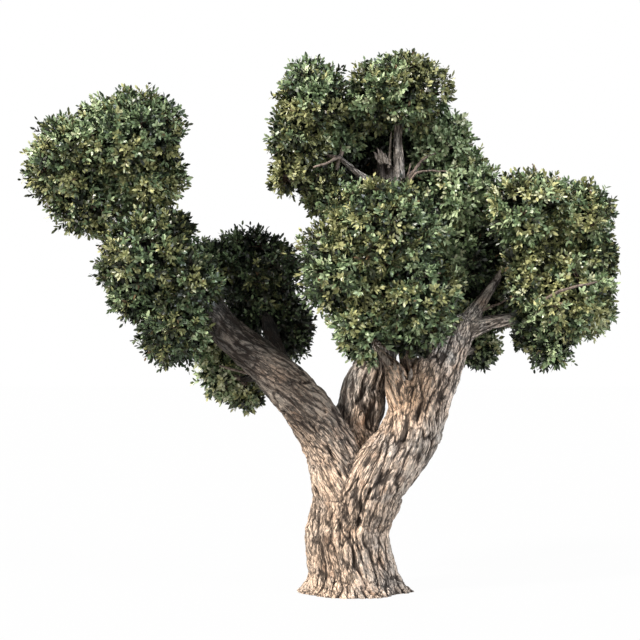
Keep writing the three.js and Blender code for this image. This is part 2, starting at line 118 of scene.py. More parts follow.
def slope_of(cells, seed):
    """The fixed random slope at each corner of the noise grid."""
    x, y, z = cells.astype(np.int64).T
    mixed = (x * 73856093) ^ (y * 19349663) ^ (z * 83492791) ^ (seed * 15485863)
    mixed = ((mixed ^ (mixed >> 15)) * 668265261) & 0xFFFFFFFF
    mixed = ((mixed ^ (mixed >> 13)) * 374761393) & 0xFFFFFFFF
    return SLOPES[(mixed >> 10) & 63]


def noise(points, seed):
    """Smooth noise from about -1 to 1, with about one bump to the unit."""
    cell = np.floor(points)
    inside = points - cell
    fade = inside**3 * (inside * (inside * 6 - 15) + 10)
    total = np.zeros(len(points))
    for corner in itertools.product((0, 1), repeat=3):
        share = np.prod(np.where(corner, fade, 1 - fade), axis=1)
        rise = np.sum(slope_of(cell + corner, seed) * (inside - corner), axis=1)
        total += share * rise
    return 1.6 * total


print("noise spread:", noise(spread_directions(500) * 9, 1).std().round(2))

# %% [markdown]
# ## The lines of the wood
# Every limb is one smooth line with a radius at each point, the same lines that the solids were
# made from, only with the boughs of the crown and the right fork drawn slimmer. A smooth spline
# passes through the points, and each step of it carries a little frame: ahead, across and beside.
# With these frames any point near a limb can be read as so far along and so far aside, which is
# how the grain of the bark follows the limb.

# %% Limb lines, in millimetres: x, y, z, radius
LIMBS = {
    "right_limb": [
        (-30, -35, 470, 205), (55, -80, 700, 262), (190, -110, 930, 252), (398, -100, 1190, 231),
        (546, -60, 1530, 217), (672, -30, 1755, 188), (828, 0, 2040, 132), (895, 8, 2150, 112),
    ],
    "left_limb": [
        (-40, -20, 590, 250), (-125, -35, 950, 225), (-218, -40, 1200, 203),
        (-392, -50, 1480, 196), (-732, -40, 1840, 150), (-1005, -10, 2075, 135),
        (-1075, 0, 2175, 112),
    ],
    "rear_limb": [
        (80, 80, 620, 215), (38, 165, 1090, 190), (18, 215, 1300, 182), (62, 228, 1435, 192),
        (95, 255, 1610, 178), (180, 260, 1800, 166), (215, 258, 2125, 150),
    ],
    "crown_limb": [
        (205, 258, 2085, 150), (265, 210, 2575, 130), (295, 140, 2975, 112), (305, 85, 3270, 92),
    ],
    "dead_snag": [
        (410, -115, 1430, 122), (352, -140, 1600, 105), (317, -150, 1760, 80),
        (250, -160, 1872, 36), (161, -175, 1975, 6),
    ],
    "left_upper_bough": [
        (-1030, 20, 2110, 105), (-1255, 110, 2440, 88), (-1525, 150, 2775, 68),
        (-1720, 90, 3040, 52),
    ],
    "left_front_bough": [(-1040, -30, 2120, 92), (-1225, -110, 2315, 72), (-1375, -190, 2410, 50)],
    "left_rear_bough": [(-570, 0, 1670, 95), (-630, 230, 1925, 75), (-715, 380, 2210, 52)],
    "left_low_bough": [(-665, 40, 1735, 50), (-825, 190, 1700, 36), (-925, 270, 1680, 26)],
    "front_bough": [
        (520, -40, 1600, 105), (448, -30, 1790, 78), (412, -80, 1930, 68), (320, -270, 2140, 48),
    ],
    "crown_top_bough": [
        (330, 80, 3200, 80), (362, 30, 3390, 44), (350, 5, 3600, 36), (360, 10, 3760, 30),
    ],
    "crown_stub": [(300, 90, 3180, 84), (258, 60, 3340, 68), (240, 50, 3452, 50)],
    "crown_left_bough": [(290, 70, 3205, 52), (60, -60, 3315, 30), (-130, -70, 3475, 20)],
    "crown_right_bough": [(315, 90, 3175, 50), (485, 100, 3365, 24), (605, 170, 3465, 15)],
    "crown_rear_bough": [(290, 130, 3090, 60), (235, 250, 3270, 44), (190, 330, 3370, 32)],
    "right_upper_bough": [
        (890, 10, 2110, 90), (1030, 25, 2325, 50), (1135, 45, 2475, 36), (1200, 50, 2570, 28),
    ],
    "right_lower_bough": [(860, -5, 2060, 90), (1090, -40, 2145, 58), (1330, -80, 2190, 40)],
    "right_rear_bough": [(760, 20, 1900, 70), (900, 230, 1925, 48), (990, 340, 1920, 34)],
    "rear_bough": [(190, 262, 2060, 100), (345, 450, 2335, 75), (430, 580, 2485, 52)],
}
SIDE_SNAG = [
    (560, -60, 1560, 112), (535, -95, 1700, 95), (538, -112, 1795, 74), (548, -118, 1862, 46),
]
print(len(LIMBS), "limbs and the side of the snag")

# %% A smooth line through control points
LINE_STEP = 0.015


def smooth_line(rows):
    """Evenly spaced points and radii, in metres, on a centripetal spline through the rows."""
    rows = np.array(rows, float) * MM
    spots = rows[:, :3]
    ends = 2 * spots[[0, -1]] - spots[[1, -2]]
    spots = np.concatenate([ends[:1], spots, ends[1:]])
    fine = []
    for i in range(1, len(spots) - 2):
        a, b, c, d = spots[i - 1 : i + 3]
        before, here, after = (math.sqrt(math.dist(*p)) for p in ((a, b), (b, c), (c, d)))
        leave = ((b - a) / before - (c - a) / (before + here)) * here + (c - b)
        arrive = (c - b) - ((d - b) / (here + after) - (d - c) / after) * here
        t = np.linspace(0, 1, 40, endpoint=False)[:, None]
        curve = b + leave * t + (3 * (c - b) - 2 * leave - arrive) * t**2
        curve = curve + (2 * (b - c) + leave + arrive) * t**3
        radius = rows[i - 1, 3] + (rows[i, 3] - rows[i - 1, 3]) * t
        fine.append(np.concatenate([curve, radius], axis=1))
    fine = np.concatenate([*fine, rows[-1:]])
    reached = np.linalg.norm(np.diff(fine[:, :3], axis=0), axis=1).cumsum()
    reached = np.concatenate([[0], reached])
    stops = np.linspace(0, reached[-1], max(6, round(reached[-1] / LINE_STEP)))
    even = np.stack([np.interp(stops, reached, column) for column in fine.T], axis=1)
    return even[:, :3], even[:, 3], stops


def with_frames(at, radius, along):
    """A limb: its line with a frame at each step that turns as little as it can."""
    ahead = unit(np.gradient(at, axis=0))
    side = np.array([0, 1, 0]) if abs(ahead[0][1]) < 0.9 else np.array([1, 0, 0])
    across = []
    for way in ahead:
        side = side - way * (side @ way)
        side = side / np.linalg.norm(side)
        across.append(side)
    across = np.array(across)
    return {
        "at": at,
        "radius": radius,
        "along": along,
        "ahead": ahead,
        "across": across,
        "beside": np.cross(ahead, across),
    }


limbs = {name: with_frames(*smooth_line(rows)) for name, rows in LIMBS.items()}
limbs["side_snag"] = with_frames(*smooth_line(SIDE_SNAG))
for name in ("right_limb", "left_limb", "rear_limb"):
    print(name, f"{limbs[name]['along'][-1]:.2f} m long")

# %% [markdown]
# ## The trunk
# The trunk is a fluted column: a waist, a spreading foot with root toes, and a shoulder under the
# fork. Its half width is one formula in height and angle. It starts a little under the ground
# here, so that a clean level cut can be made through it later.

# %% Trunk rule
TRUNK_HEIGHT = 0.740
WAIST_HEIGHT = 0.450
TRUNK_DEPTH = 0.88  # its depth as a share of its width
TOES = [  # for each root toe: its way in degrees, its reach in metres, its half width in degrees
    (-8, 0.105, 16),
    (52, 0.080, 22),
    (118, 0.095, 20),
    (178, 0.085, 20),
    (232, 0.060, 22),
    (292, 0.055, 24),
]


def smooth_step(value, low, high):
    """0 below low, 1 above high, and a smooth rise between them."""
    t = np.clip((value - low) / (high - low), 0, 1)
    return t * t * (3 - 2 * t)


def trunk_lean(height):
    """How far the heart of the trunk stands aside at a height."""
    low = -0.050 * smooth_step(height, 0, WAIST_HEIGHT)
    return low + 0.078 * smooth_step(height, WAIST_HEIGHT, TRUNK_HEIGHT)


def trunk_reach(angle, height):
    """The trunk's half width at an angle and a height."""
    height = np.clip(height, 0, TRUNK_HEIGHT)
    body = 0.322 + 0.063 * np.exp(-height / 0.170)
    body = body + 0.028 * smooth_step(height, WAIST_HEIGHT, TRUNK_HEIGHT)
    flute = 1 + 0.035 * np.cos(7 * (angle - 0.9 * height))
    toes = np.zeros_like(angle)
    for toward, reach, spread in TOES:
        off = np.angle(np.exp(1j * (angle - math.radians(toward))))
        toes = toes + reach * np.exp(-((off / math.radians(spread)) ** 2))
    return body * flute + toes * np.exp(-height / 0.075)


waist = trunk_reach(np.zeros(1), np.full(1, WAIST_HEIGHT))[0]
print(f"waist half width {waist:.3f} m")

# %% [markdown]
# ## One body of wood
# On the real tree the limbs grow out of the trunk without a seam. Rings are swept along each line,
# the closed tubes are joined, and a voxel remesh melts them into one even skin of small squares,
# which can then carry the bark.

# %% Tubes and the trunk as closed skins
TUBE_SIDES = 28
BELOW_GROUND = -0.06
TUBE_DOME = [(0.22, 0.8), (0.36, 0.4)]  # rings past a limb's end: how far and how wide, in radii
TRUNK_DOME = [(0.790, 0.8), (0.830, 0.35)]  # rings over the trunk: height and share of its width
TRUNK_RINGS = 30


def closed_tube(rings):
    """Points and faces of a closed skin over rings that have the same number of points."""
    count, sides = rings.shape[:2]
    ring, side = np.meshgrid(np.arange(count - 1), np.arange(sides), indexing="ij")
    low, next_side = ring * sides, (side + 1) % sides
    quads = np.stack(
        [low + side, low + next_side, low + sides + next_side, low + sides + side],
        axis=-1,
    ).reshape(-1, 4)
    faces = quads.tolist()
    faces.append(list(range(sides))[::-1])
    faces.append([(count - 1) * sides + i for i in range(sides)])
    return rings.reshape(-1, 3), faces


def limb_rings(limb):
    """Rings round a limb, with a low dome at its far end."""
    angle = np.arange(TUBE_SIDES) / TUBE_SIDES * 2 * math.pi
    at, radius = limb["at"], limb["radius"]
    past, wide = np.array(TUBE_DOME).T
    at = np.concatenate([at, at[-1] + limb["ahead"][-1] * radius[-1] * past[:, None]])
    radius = np.concatenate([radius, radius[-1] * wide])
    across = np.concatenate([limb["across"], limb["across"][[-1, -1]]])
    beside = np.concatenate([limb["beside"], limb["beside"][[-1, -1]]])
    turn = angle[None, :, None]
    spoke = across[:, None] * np.cos(turn) + beside[:, None] * np.sin(turn)
    return at[:, None] + spoke * radius[:, None, None]


def trunk_rings():
    """Rings round the trunk, from under the ground to the low dome in its fork."""
    angle = np.arange(2 * TUBE_SIDES) / TUBE_SIDES * math.pi
    heights = [BELOW_GROUND, *np.linspace(0, TRUNK_HEIGHT, TRUNK_RINGS)]
    rings = []
    for height, share in [(height, 1) for height in heights] + TRUNK_DOME:
        reach = trunk_reach(angle, np.full_like(angle, height)) * share
        x = trunk_lean(min(height, TRUNK_HEIGHT)) + reach * np.cos(angle)
        y = TRUNK_DEPTH * reach * np.sin(angle)
        rings.append(np.stack([x, y, np.full_like(x, height)], axis=1))
    return np.array(rings)


print("rings and sides of the trunk:", trunk_rings().shape[:2])

# %% Join the tubes and melt them together
SKIN_STEP = 0.0085


def new_object(name, mesh):
    """An object for a mesh, in the scene."""
    piece = bpy.data.objects.new(name, mesh)
    bpy.context.scene.collection.objects.link(piece)
    return piece


def settled_mesh(piece, name):
    """The object's mesh with its modifiers worked in, as a plain mesh."""
    depsgraph = bpy.context.evaluated_depsgraph_get()
    mesh = bpy.data.meshes.new_from_object(
        piece.evaluated_get(depsgraph), preserve_all_data_layers=True, depsgraph=depsgraph
    )
    mesh.name = name
    return mesh


def melted(name, skins):
    """One even skin round several closed skins that overlap."""
    points, faces, start = [], [], 0
    for skin_points, skin_faces in skins:
        points.append(skin_points)
        faces.extend([[start + i for i in face] for face in skin_faces])
        start += len(skin_points)
    mesh = bpy.data.meshes.new(name)
    mesh.from_pydata(np.concatenate(points).tolist(), [], faces)
    rough = new_object(name, mesh)
    remesh = rough.modifiers.new("melt", "REMESH")
    remesh.mode = "VOXEL"
    remesh.voxel_size = SKIN_STEP
    skin = settled_mesh(rough, name)
    bpy.data.objects.remove(rough)
    return skin


wood = melted(
    "wood",
    [closed_tube(trunk_rings())] + [closed_tube(limb_rings(limb)) for limb in limbs.values()],
)
print(f"wood skin: {len(wood.polygons)} faces")

# %% [markdown]
# ## Reading where each point of the bark lies
# For every point of the skin we ask each limb: how far along are you, how far aside, and how near
# is your surface? The nearer a limb's surface, the more its grain counts, so the furrows of two
# limbs flow into each other at a fork.

# %% Points and normals of a mesh as arrays


def rows_of(items, key, width, kind=np.float32):
    """The numbers kept under a key, with one row for each item of a mesh."""
    flat = np.empty(len(items) * width, kind)
    items.foreach_get(key, flat)
    return flat.reshape(-1, width)


def set_points(mesh, points):
    """Move the points of a mesh to these places."""
    mesh.vertices.foreach_set("co", points.astype(np.float32).ravel())
    mesh.update()


def relaxed(points, edges, rounds, share=0.5):
    """The points of a mesh, drawn towards the mean of their neighbours."""
    ends = np.concatenate([edges, edges[:, ::-1]])
    count = np.maximum(np.bincount(ends[:, 0], minlength=len(points)), 1)[:, None]
    for _ in range(rounds):
        sums = [np.bincount(ends[:, 0], column[ends[:, 1]], len(points)) for column in points.T]
        points = points + (np.stack(sums, axis=1) / count - points) * share
    return points


wood_points = rows_of(wood.vertices, "co", 3).astype(float)
wood_edges = rows_of(wood.edges, "vertices", 2, np.int32)
print("points on the wood:", len(wood_points))

# %% Along and aside
BLEND_WIDTH = 0.028  # how fast a limb's say in the grain fades with distance, in metres
PART_SIZE = 20000  # how many points are measured at once


def beside_limb(points, limb):
    """How far along, across and beside a limb points lie, its radius there, and how far off it."""
    nearest = np.empty(len(points), np.int64)
    for start in range(0, len(points), PART_SIZE):
        part = points[start : start + PART_SIZE]
        gaps = (part**2).sum(1)[:, None] - 2 * part @ limb["at"].T + (limb["at"] ** 2).sum(1)
        nearest[start : start + PART_SIZE] = gaps.argmin(1)
    offset = points - limb["at"][nearest]
    ahead = (offset * limb["ahead"][nearest]).sum(1)
    across = (offset * limb["across"][nearest]).sum(1)
    beside = (offset * limb["beside"][nearest]).sum(1)
    at_end = (nearest == 0) | (nearest == len(limb["at"]) - 1)
    past = np.where(at_end, np.abs(ahead), 0)
    radius = limb["radius"][nearest]
    off = np.hypot(np.maximum(np.hypot(across, beside) - radius, 0), past)
    return limb["along"][nearest] + ahead, across, beside, radius, off


def beside_trunk(points):
    """The same for the trunk."""
    x = points[:, 0] - trunk_lean(np.clip(points[:, 2], 0, TRUNK_HEIGHT))
    y = points[:, 1] / TRUNK_DEPTH
    reach = trunk_reach(np.arctan2(y, x), points[:, 2])
    past = np.maximum(points[:, 2] - TRUNK_HEIGHT, 0)
    off = np.hypot(np.maximum(np.hypot(x, y) - reach, 0), past)
    return points[:, 2], x, y, reach, off


def near_box(points, limb, margin=0.14):
    """The numbers of the points that lie near a limb."""
    reach = limb["radius"].max() + margin
    low, high = limb["at"].min(0) - reach, limb["at"].max(0) + reach
    return np.flatnonzero(((points > low) & (points < high)).all(1))


def places_on_wood(points):
    """[(numbers of points, along, across, beside, radius, weight)] for the trunk and each limb."""
    rows = []
    number = np.flatnonzero(points[:, 2] < TRUNK_HEIGHT + 0.15)
    rows.append((number, *beside_trunk(points[number])))
    for limb in limbs.values():
        number = near_box(points, limb)
        rows.append((number, *beside_limb(points[number], limb)))
    total = np.zeros(len(points))
    weights = []
    for number, *_, off in rows:
        weights.append(np.exp(-off / BLEND_WIDTH) + 1e-6)
        np.add.at(total, number, weights[-1])
    return [(*row[:5], weight / total[row[0]]) for row, weight in zip(rows, weights)]


wood_points = relaxed(wood_points, wood_edges, 6)
set_points(wood, wood_points)
wood_places = places_on_wood(wood_points)
print("limbs that each point reads:", sum(len(r[0]) for r in wood_places) / len(wood_points))

# %% [markdown]
# ## Furrows, ribs and hollows
# Old olive bark is pulled into long ropes that split and join, with narrow dark furrows between
# them. Where smooth noise passes through zero it draws just such winding lines. So each furrow is
# cut where noise, stretched along the limb and bent by a slower noise, comes near zero. A coarse
# set of furrows, a finer set, broad muscles and short cross cracks add up to the height of the
# bark.

# %% The height of the bark
TWIST = 1.1  # how far the grain winds round a limb, in radians to the metre
TRUNK_TWIST = 0.35
# How many bumps each noise has to the metre: two ways aside, then along the grain
SLOW_BENDS, QUICK_BENDS = (5.5, 5.5, 3.2), (15, 15, 11)
MUSCLES, ROPES, THIN_ROPES = (5.8, 5.8, 1.4), (11, 11, 2.4), (21, 21, 4.8)
CROSS_CRACKS, PATCHES = (19, 19, 24), (7, 7, 4)
LUMPS, OPENINGS, PITS = (26, 26, 13), (10, 10, 5), (30, 30, 12)
# How far each stands out or cuts in, and how wide the furrows are, in metres
MUSCLE_RISE, LUMP_RISE = 0.021, 0.010
FURROW_CUT, THIN_CUT, CRACK_CUT, PIT_CUT = 0.021, 0.014, 0.006, 0.012
FURROW_WIDTH, THIN_WIDTH = 0.009, 0.0055


def off_lines(grain, scale, seed):
    """How far each point lies, in metres, from winding lines where noise passes through zero."""
    step = 0.06
    place = grain * scale
    here = noise(place, seed)
    rise_x = (noise(place + (step, 0, 0), seed) - here) / step * scale[0]
    rise_y = (noise(place + (0, step, 0), seed) - here) / step * scale[1]
    return np.abs(here) / np.maximum(np.hypot(rise_x, rise_y), 0.3 * scale[0])


def grain_of(along, across, beside, twist):
    """A place on a limb, turned with the grain: two ways aside and one along."""
    turn = twist * along
    x = across * np.cos(turn) - beside * np.sin(turn)
    y = across * np.sin(turn) + beside * np.cos(turn)
    return np.stack([x, y, along], axis=1)


def bark_height(grain, seed):
    """The bark's height and its painted shade, deepest in the furrows, on one limb."""
    bend = [noise(grain * SLOW_BENDS, seed + k) for k in (1, 2, 3)]
    grain = grain + np.stack(bend, axis=1) * (0.034, 0.034, 0.05)
    bend = [noise(grain * QUICK_BENDS, seed + k) for k in (11, 12)]
    grain = grain + np.pad(np.stack(bend, axis=1) * 0.012, ((0, 0), (0, 1)))
    muscle = noise(grain * MUSCLES, seed + 4)
    broad = off_lines(grain, ROPES, seed + 5)
    fine = off_lines(grain, THIN_ROPES, seed + 6)
    cross = np.abs(noise(grain * CROSS_CRACKS, seed + 7))
    patch = smooth_step(noise(grain * PATCHES, seed + 8), 0.0, 0.4)
    lumps = noise(grain * LUMPS, seed + 9)
    open_here = 0.55 + 0.45 * smooth_step(noise(grain * OPENINGS, seed + 13), -0.40, 0.20)
    pits = smooth_step(noise(grain * PITS, seed + 10), 0.45, 0.8)
    furrow = FURROW_CUT * open_here * np.exp(-broad / FURROW_WIDTH)
    height = 0.007 + MUSCLE_RISE * muscle - furrow
    height = height - THIN_CUT * np.exp(-fine / THIN_WIDTH) + LUMP_RISE * lumps
    height = height - CRACK_CUT * np.exp(-((cross / 0.12) ** 2)) * patch - PIT_CUT * pits
    # How much shade the material paints: most deep in the furrows, cracks and pits, some in the
    # valleys between the muscles, and less on the muscles, down to a painted highlight
    depth = 1.20 * np.exp(-((broad / 0.0070) ** 2)) + 0.80 * np.exp(-((fine / 0.0050) ** 2))
    depth = depth * open_here
    depth = depth + 0.7 * pits + 0.2 * np.exp(-((cross / 0.06) ** 2)) * patch
    return height, depth - 0.28 * muscle - 0.04 * lumps


LEAST_SAY = 0.02  # a limb with a smaller say at a point is left out there
FULL_RELIEF = 0.20  # the radius in metres of a limb whose bark is in full relief
RELIEF_RANGE = (0.20, 1.1)  # the least and the most share of it on thin and thick limbs


def bark_on(points, places):
    """The bark's height, painted shade and grain over the whole skin, blended between limbs."""
    height, depth = np.zeros(len(points)), np.zeros(len(points))
    grain, strongest = np.zeros((len(points), 3)), np.zeros(len(points))
    for k, (number, along, across, beside, radius, weight) in enumerate(places):
        counts = weight > LEAST_SAY
        number, radius, weight = number[counts], radius[counts], weight[counts]
        twist = TWIST if k else TRUNK_TWIST
        spot = grain_of(along[counts], across[counts], beside[counts], twist)
        rise, furrow = bark_height(spot, 40 * k)
        coarse = np.clip(radius / FULL_RELIEF, *RELIEF_RANGE)
        np.add.at(height, number, rise * coarse * weight)
        np.add.at(depth, number, furrow * weight)
        leads = weight > strongest[number]
        grain[number[leads]] = spot[leads] + k
        strongest[number[leads]] = weight[leads]
    return height, depth, grain


wood_height, wood_shading, wood_grain = bark_on(wood_points, wood_places)
print(f"relief from {wood_height.min() * 1000:.0f} to {wood_height.max() * 1000:.0f} mm")

# %% [markdown]
# Some hollows have a fixed place: rot holes where boughs were lost long ago, long dark slots
# between the ropes, and a scoop under the fork. Each is a soft pit with its own size and lean, on
# the side that faces the given way.

# %% Hollows: x, z, half width, half length, lean in degrees, depth, all in millimetres
HOLLOWS = [
    (502, 1449, 26, 78, -12, 60), (674, 1558, 24, 80, -22, 50), (655, 1418, 22, 55, -8, 42),
    (197, 918, 44, 80, -20, 42), (50, 699, 20, 55, 4, 48), (33, 585, 20, 45, 8, 40),
    (-6, 345, 13, 150, 3, 34), (-40, 470, 20, 34, 0, 26), (-118, 560, 16, 40, 10, 26),
    (380, 1205, 18, 60, -28, 30), (-185, 1120, 17, 70, 24, 30), (-330, 1330, 16, 75, 34, 30),
    (130, 1400, 24, 95, -16, 46), (60, 1560, 26, 70, -30, 46), (248, 3372, 40, 52, 0, 56),
    (402, 1740, 22, 60, 4, 40),
]
KNOTS = [  # x, z, half size, height: healed rings that stand out round a small pit
    (108, 832, 62, 22), (228, 1180, 40, 13), (560, 1300, 34, 12), (-60, 800, 38, 12),
    (310, 1010, 42, 12), (-235, 1440, 36, 11),
]


def hollows_on(points, normals):
    """How deep the fixed hollows go, and how high the knots stand, at each point."""
    pit, swell = np.zeros(len(points)), np.zeros(len(points))
    faces_front = smooth_step(-normals[:, 1], 0.05, 0.35)
    for x, z, half_width, half_length, lean, depth in HOLLOWS:
        turn = math.radians(lean)
        dx, dz = points[:, 0] - x * MM, points[:, 2] - z * MM
        wide = (dx * math.cos(turn) + dz * math.sin(turn)) / (half_width * MM)
        long = (-dx * math.sin(turn) + dz * math.cos(turn)) / (half_length * MM)
        near = np.exp(-((wide**2 + long**2) ** 1.3))
        pit = np.maximum(pit, depth * MM * near * faces_front)
    for x, z, size, height in KNOTS:
        off = np.hypot(points[:, 0] - x * MM, points[:, 2] - z * MM) / (size * MM)
        ring = np.exp(-(((off - 0.62) / 0.30) ** 2)) - 0.9 * np.exp(-((off / 0.3) ** 2))
        swell = swell + height * MM * ring * faces_front * (off < 2)
    return pit, swell


wood_normals = rows_of(wood.vertex_normals, "vector", 3).astype(float)
pit, swell = hollows_on(wood_points, wood_normals)
wood_height = wood_height - pit + swell
# The fixed hollows take painted shade as well
wood_shading = wood_shading + pit / 0.050
wood_points = wood_points + wood_normals * wood_height[:, None]
wood_points = relaxed(wood_points, wood_edges, 1, 0.35)
set_points(wood, wood_points)
print("deepest hollow", f"{pit.max() * 1000:.0f} mm")

# %% [markdown]
# ## Finishing the wood
# The skin is cut level at the ground and closed there, and it is parted high in the limbs into
# closed pieces that each stay light. How deep each point lies in a furrow is kept on the mesh,
# because the bark material paints shade into the furrows with it, and a highlight onto the ridges.

# %% Keep the furrows, cut level, part
WOOD_PARTS = {  # from level to level, in metres
    "lower_wood": (0.0, 1.22),
    "middle_wood": (1.22, 1.95),
    "upper_wood": (1.95, None),
}


def keep_values(mesh, name, values):
    """A number or a vector for each point of a mesh, which a material or a node tree can read."""
    values = np.asarray(values)
    if values.ndim == 2:
        kind, field = "FLOAT_VECTOR", "vector"
    elif values.dtype.kind == "i":
        kind, field = "INT", "value"
    else:
        kind, field = "FLOAT", "value"
    layer = mesh.attributes.new(name, kind, "POINT")
    number_type = np.int32 if kind == "INT" else np.float32
    layer.data.foreach_set(field, np.ascontiguousarray(values, number_type).ravel())


def part_between(mesh, name, low, high):
    """The part of a closed mesh between two levels, closed again with flat faces."""
    work = bmesh.new()
    work.from_mesh(mesh)
    for level, keep_above in ((low, True), (high, False)):
        if level is None:
            continue
        cut = bmesh.ops.bisect_plane(
            work,
            geom=work.verts[:] + work.edges[:] + work.faces[:],
            plane_co=(0, 0, level),
            plane_no=(0, 0, 1),
            clear_inner=keep_above,
            clear_outer=not keep_above,
        )
        rim = [item for item in cut["geom_cut"] if isinstance(item, bmesh.types.BMEdge)]
        for lid in bmesh.ops.holes_fill(work, edges=rim, sides=0)["faces"]:
            lid.smooth = False
            for edge in lid.edges:
                edge.smooth = False
    part = bpy.data.meshes.new(name)
    work.to_mesh(part)
    work.free()
    return part


def triangles_in(mesh):
    mesh.calc_loop_triangles()
    return len(mesh.loop_triangles)


# The painted shade of the furrows and hollows, and the painted highlight of the ridges
keep_values(wood, "furrow", np.clip(wood_shading, -0.5, 2))
keep_values(wood, "grain", wood_grain)
wood.polygons.foreach_set("use_smooth", np.ones(len(wood.polygons), bool))
wood_parts = {
    name: part_between(wood, name, low, high) for name, (low, high) in WOOD_PARTS.items()
}
for name, part in wood_parts.items():
    print(name, triangles_in(part), "triangles")

# %% [markdown]
# ## Foliage
# Each head fills a few rounded lobes. Inside it, branches run from the tip of the bough to the
# heart of each lobe, twigs run out to tufts just under the skin, and each tuft is a star of
# shoots. A shoot carries pairs of leaves, each pair turned a quarter against the last, as olive
# leaves grow. Leaves that would leave the head's own space or touch a limb are left out.

# %% Heads: the bough, the shade painted on its leaves, then centre and half sizes of each lobe in mm
HEADS = {
    "far_left": ("left_upper_bough", 0.3, [
        (-1790, 0, 3600, 505, 430, 438), (-2235, 20, 3410, 435, 400, 435),
        (-2140, -40, 3030, 335, 260, 240), (-1690, 20, 3275, 382, 330, 290),
    ]),
    "left_front": ("left_front_bough", 0.5, [
        (-1645, -200, 2625, 430, 400, 455), (-1425, -190, 2135, 318, 345, 372),
        (-1700, -190, 2335, 250, 240, 265), (-1310, -230, 2435, 285, 300, 330),
        (-1465, -60, 2870, 215, 200, 215),
    ]),
    "left_rear": ("left_rear_bough", 0.25, [
        (-810, 480, 2565, 450, 360, 380), (-530, 480, 2120, 210, 260, 370),
        (-1165, 420, 2635, 245, 240, 208), (-850, 430, 2185, 190, 200, 190),
    ]),
    "left_low": ("left_low_bough", -0.4, [
        (-1060, 380, 1705, 255, 230, 290), (-870, 360, 1550, 150, 150, 165),
        (-1210, 300, 1960, 150, 160, 170),
    ]),
    "front": ("front_bough", 0.28, [
        (230, -430, 2825, 480, 420, 480), (-90, -420, 2575, 390, 360, 420),
        (455, -400, 2355, 380, 380, 435), (70, -420, 2090, 275, 300, 335),
        (440, -330, 2010, 130, 140, 140),
    ]),
    "top_left": ("crown_left_bough", 0.3, [
        (-325, -60, 3895, 310, 340, 375), (-430, -60, 3595, 305, 320, 330),
        (-225, -20, 3190, 215, 250, 270), (-510, -80, 3315, 190, 190, 190),
        (-110, 150, 3655, 245, 260, 340),
    ]),
    "top": ("crown_top_bough", 0.34, [
        (400, 20, 4000, 372, 400, 370), (160, -10, 3925, 280, 320, 315),
    ]),
    "crown_rear": ("crown_rear_bough", 0.6, [
        (125, 420, 3570, 315, 260, 365), (450, 360, 3560, 210, 200, 290),
        (-20, 260, 3150, 200, 180, 230),
    ]),
    "upper_right": ("crown_right_bough", 0.0, [
        (705, 260, 3600, 312, 320, 345), (905, 280, 3200, 345, 360, 375),
        (835, 300, 2645, 365, 360, 445), (640, 205, 3240, 170, 180, 190),
        (1080, 420, 2330, 240, 230, 290), (1130, 360, 2690, 210, 210, 250),
    ]),
    "right_high": ("right_upper_bough", 0.18, [
        (1395, -90, 2995, 390, 420, 362), (1455, -110, 2650, 245, 330, 250),
        (1315, -150, 2600, 140, 180, 200), (1775, -60, 2950, 310, 360, 385),
        (1290, 130, 2480, 180, 190, 190),
    ]),
    "right_low": ("right_lower_bough", 0.04, [
        (1675, -100, 2320, 450, 420, 425), (1540, -80, 1975, 255, 250, 240),
        (1945, -80, 2645, 185, 240, 230), (1375, 40, 2030, 105, 130, 105),
        (1345, -200, 2400, 150, 200, 200), (1405, -150, 2190, 112, 180, 160),
    ]),
    "right_rear": ("right_rear_bough", 0.15, [
        (1020, 470, 1950, 225, 240, 250), (1200, 380, 2235, 160, 150, 150),
        (880, 330, 2225, 165, 160, 165),
    ]),
    "rear": ("rear_bough", 0.5, [
        (540, 760, 2660, 470, 420, 490), (655, 700, 3265, 390, 340, 390),
    ]),
}
lobes = [
    {"head": head, "heart": np.array(numbers[:3]) * MM, "half": np.array(numbers[3:]) * MM}
    for head, (_, _, rows) in HEADS.items()
    for numbers in rows
]
print(len(HEADS), "heads with", len(lobes), "lobes")

# %% How far out a point lies


def share_out(points, lobe):
    """0 at the heart of a lobe, 1 on its outline."""
    return np.linalg.norm((points - lobe["heart"]) / lobe["half"], axis=1)


def least_share(points, chosen):
    """The least share over several lobes."""
    best = np.full(len(points), 9.0)
    for lobe in chosen:
        best = np.minimum(best, share_out(points, lobe))
    return best


CLEAR_SHARE = 1.05  # outside this share of another head's lobes a leaf is always free
REACH_SHARE = 1.19  # how far past the outline of its own lobes a leaf may reach
MIXED_SHARE = 0.15  # how far the leaves of two heads grow into each other
WOOD_MARGIN = 0.014  # how far leaves keep off the wood, in metres
BOX_MARGIN = 0.012  # and how far they keep inside the box of the whole tree


def clear_of_wood(points):
    """True for each point that keeps off every limb."""
    clear = np.ones(len(points), bool)
    for limb in limbs.values():
        number = near_box(points, limb, WOOD_MARGIN + 0.02)
        if len(number):
            off = beside_limb(points[number], limb)[-1]
            clear[number[off < WOOD_MARGIN]] = False
    return clear


KEPT_IN_VIEW = [  # wood that no leaf may hide: x and z of both ends, half width, and its front
    (158, 1985, 255, 1850, 44, -100), (262, 1850, 330, 1745, 74, -100),
    (403, 1920, 403, 1790, 18, -60), (500, 1830, 560, 1700, 46, -80),
    (350, 3690, 362, 3330, 36, 0), (210, 3540, 245, 3330, 66, 20), (-40, 3390, 110, 3330, 30, -30),
    (-322, 3364, -150, 3430, 18, -250), (1500, 2362, 1605, 2412, 20, -470),
]


def hides_wood(points):
    """True for each point in front of wood that is kept in view."""
    hides = np.zeros(len(points), bool)
    spots = points[:, [0, 2]]
    for x1, z1, x2, z2, width, front in KEPT_IN_VIEW:
        low, high = np.array([x1, z1]) * MM, np.array([x2, z2]) * MM
        way = high - low
        share = np.clip((spots - low) @ way / (way @ way), 0, 1)
        off = np.linalg.norm(spots - low - share[:, None] * way, axis=1)
        hides |= (off < width * MM) & (points[:, 1] < front * MM)
    return hides


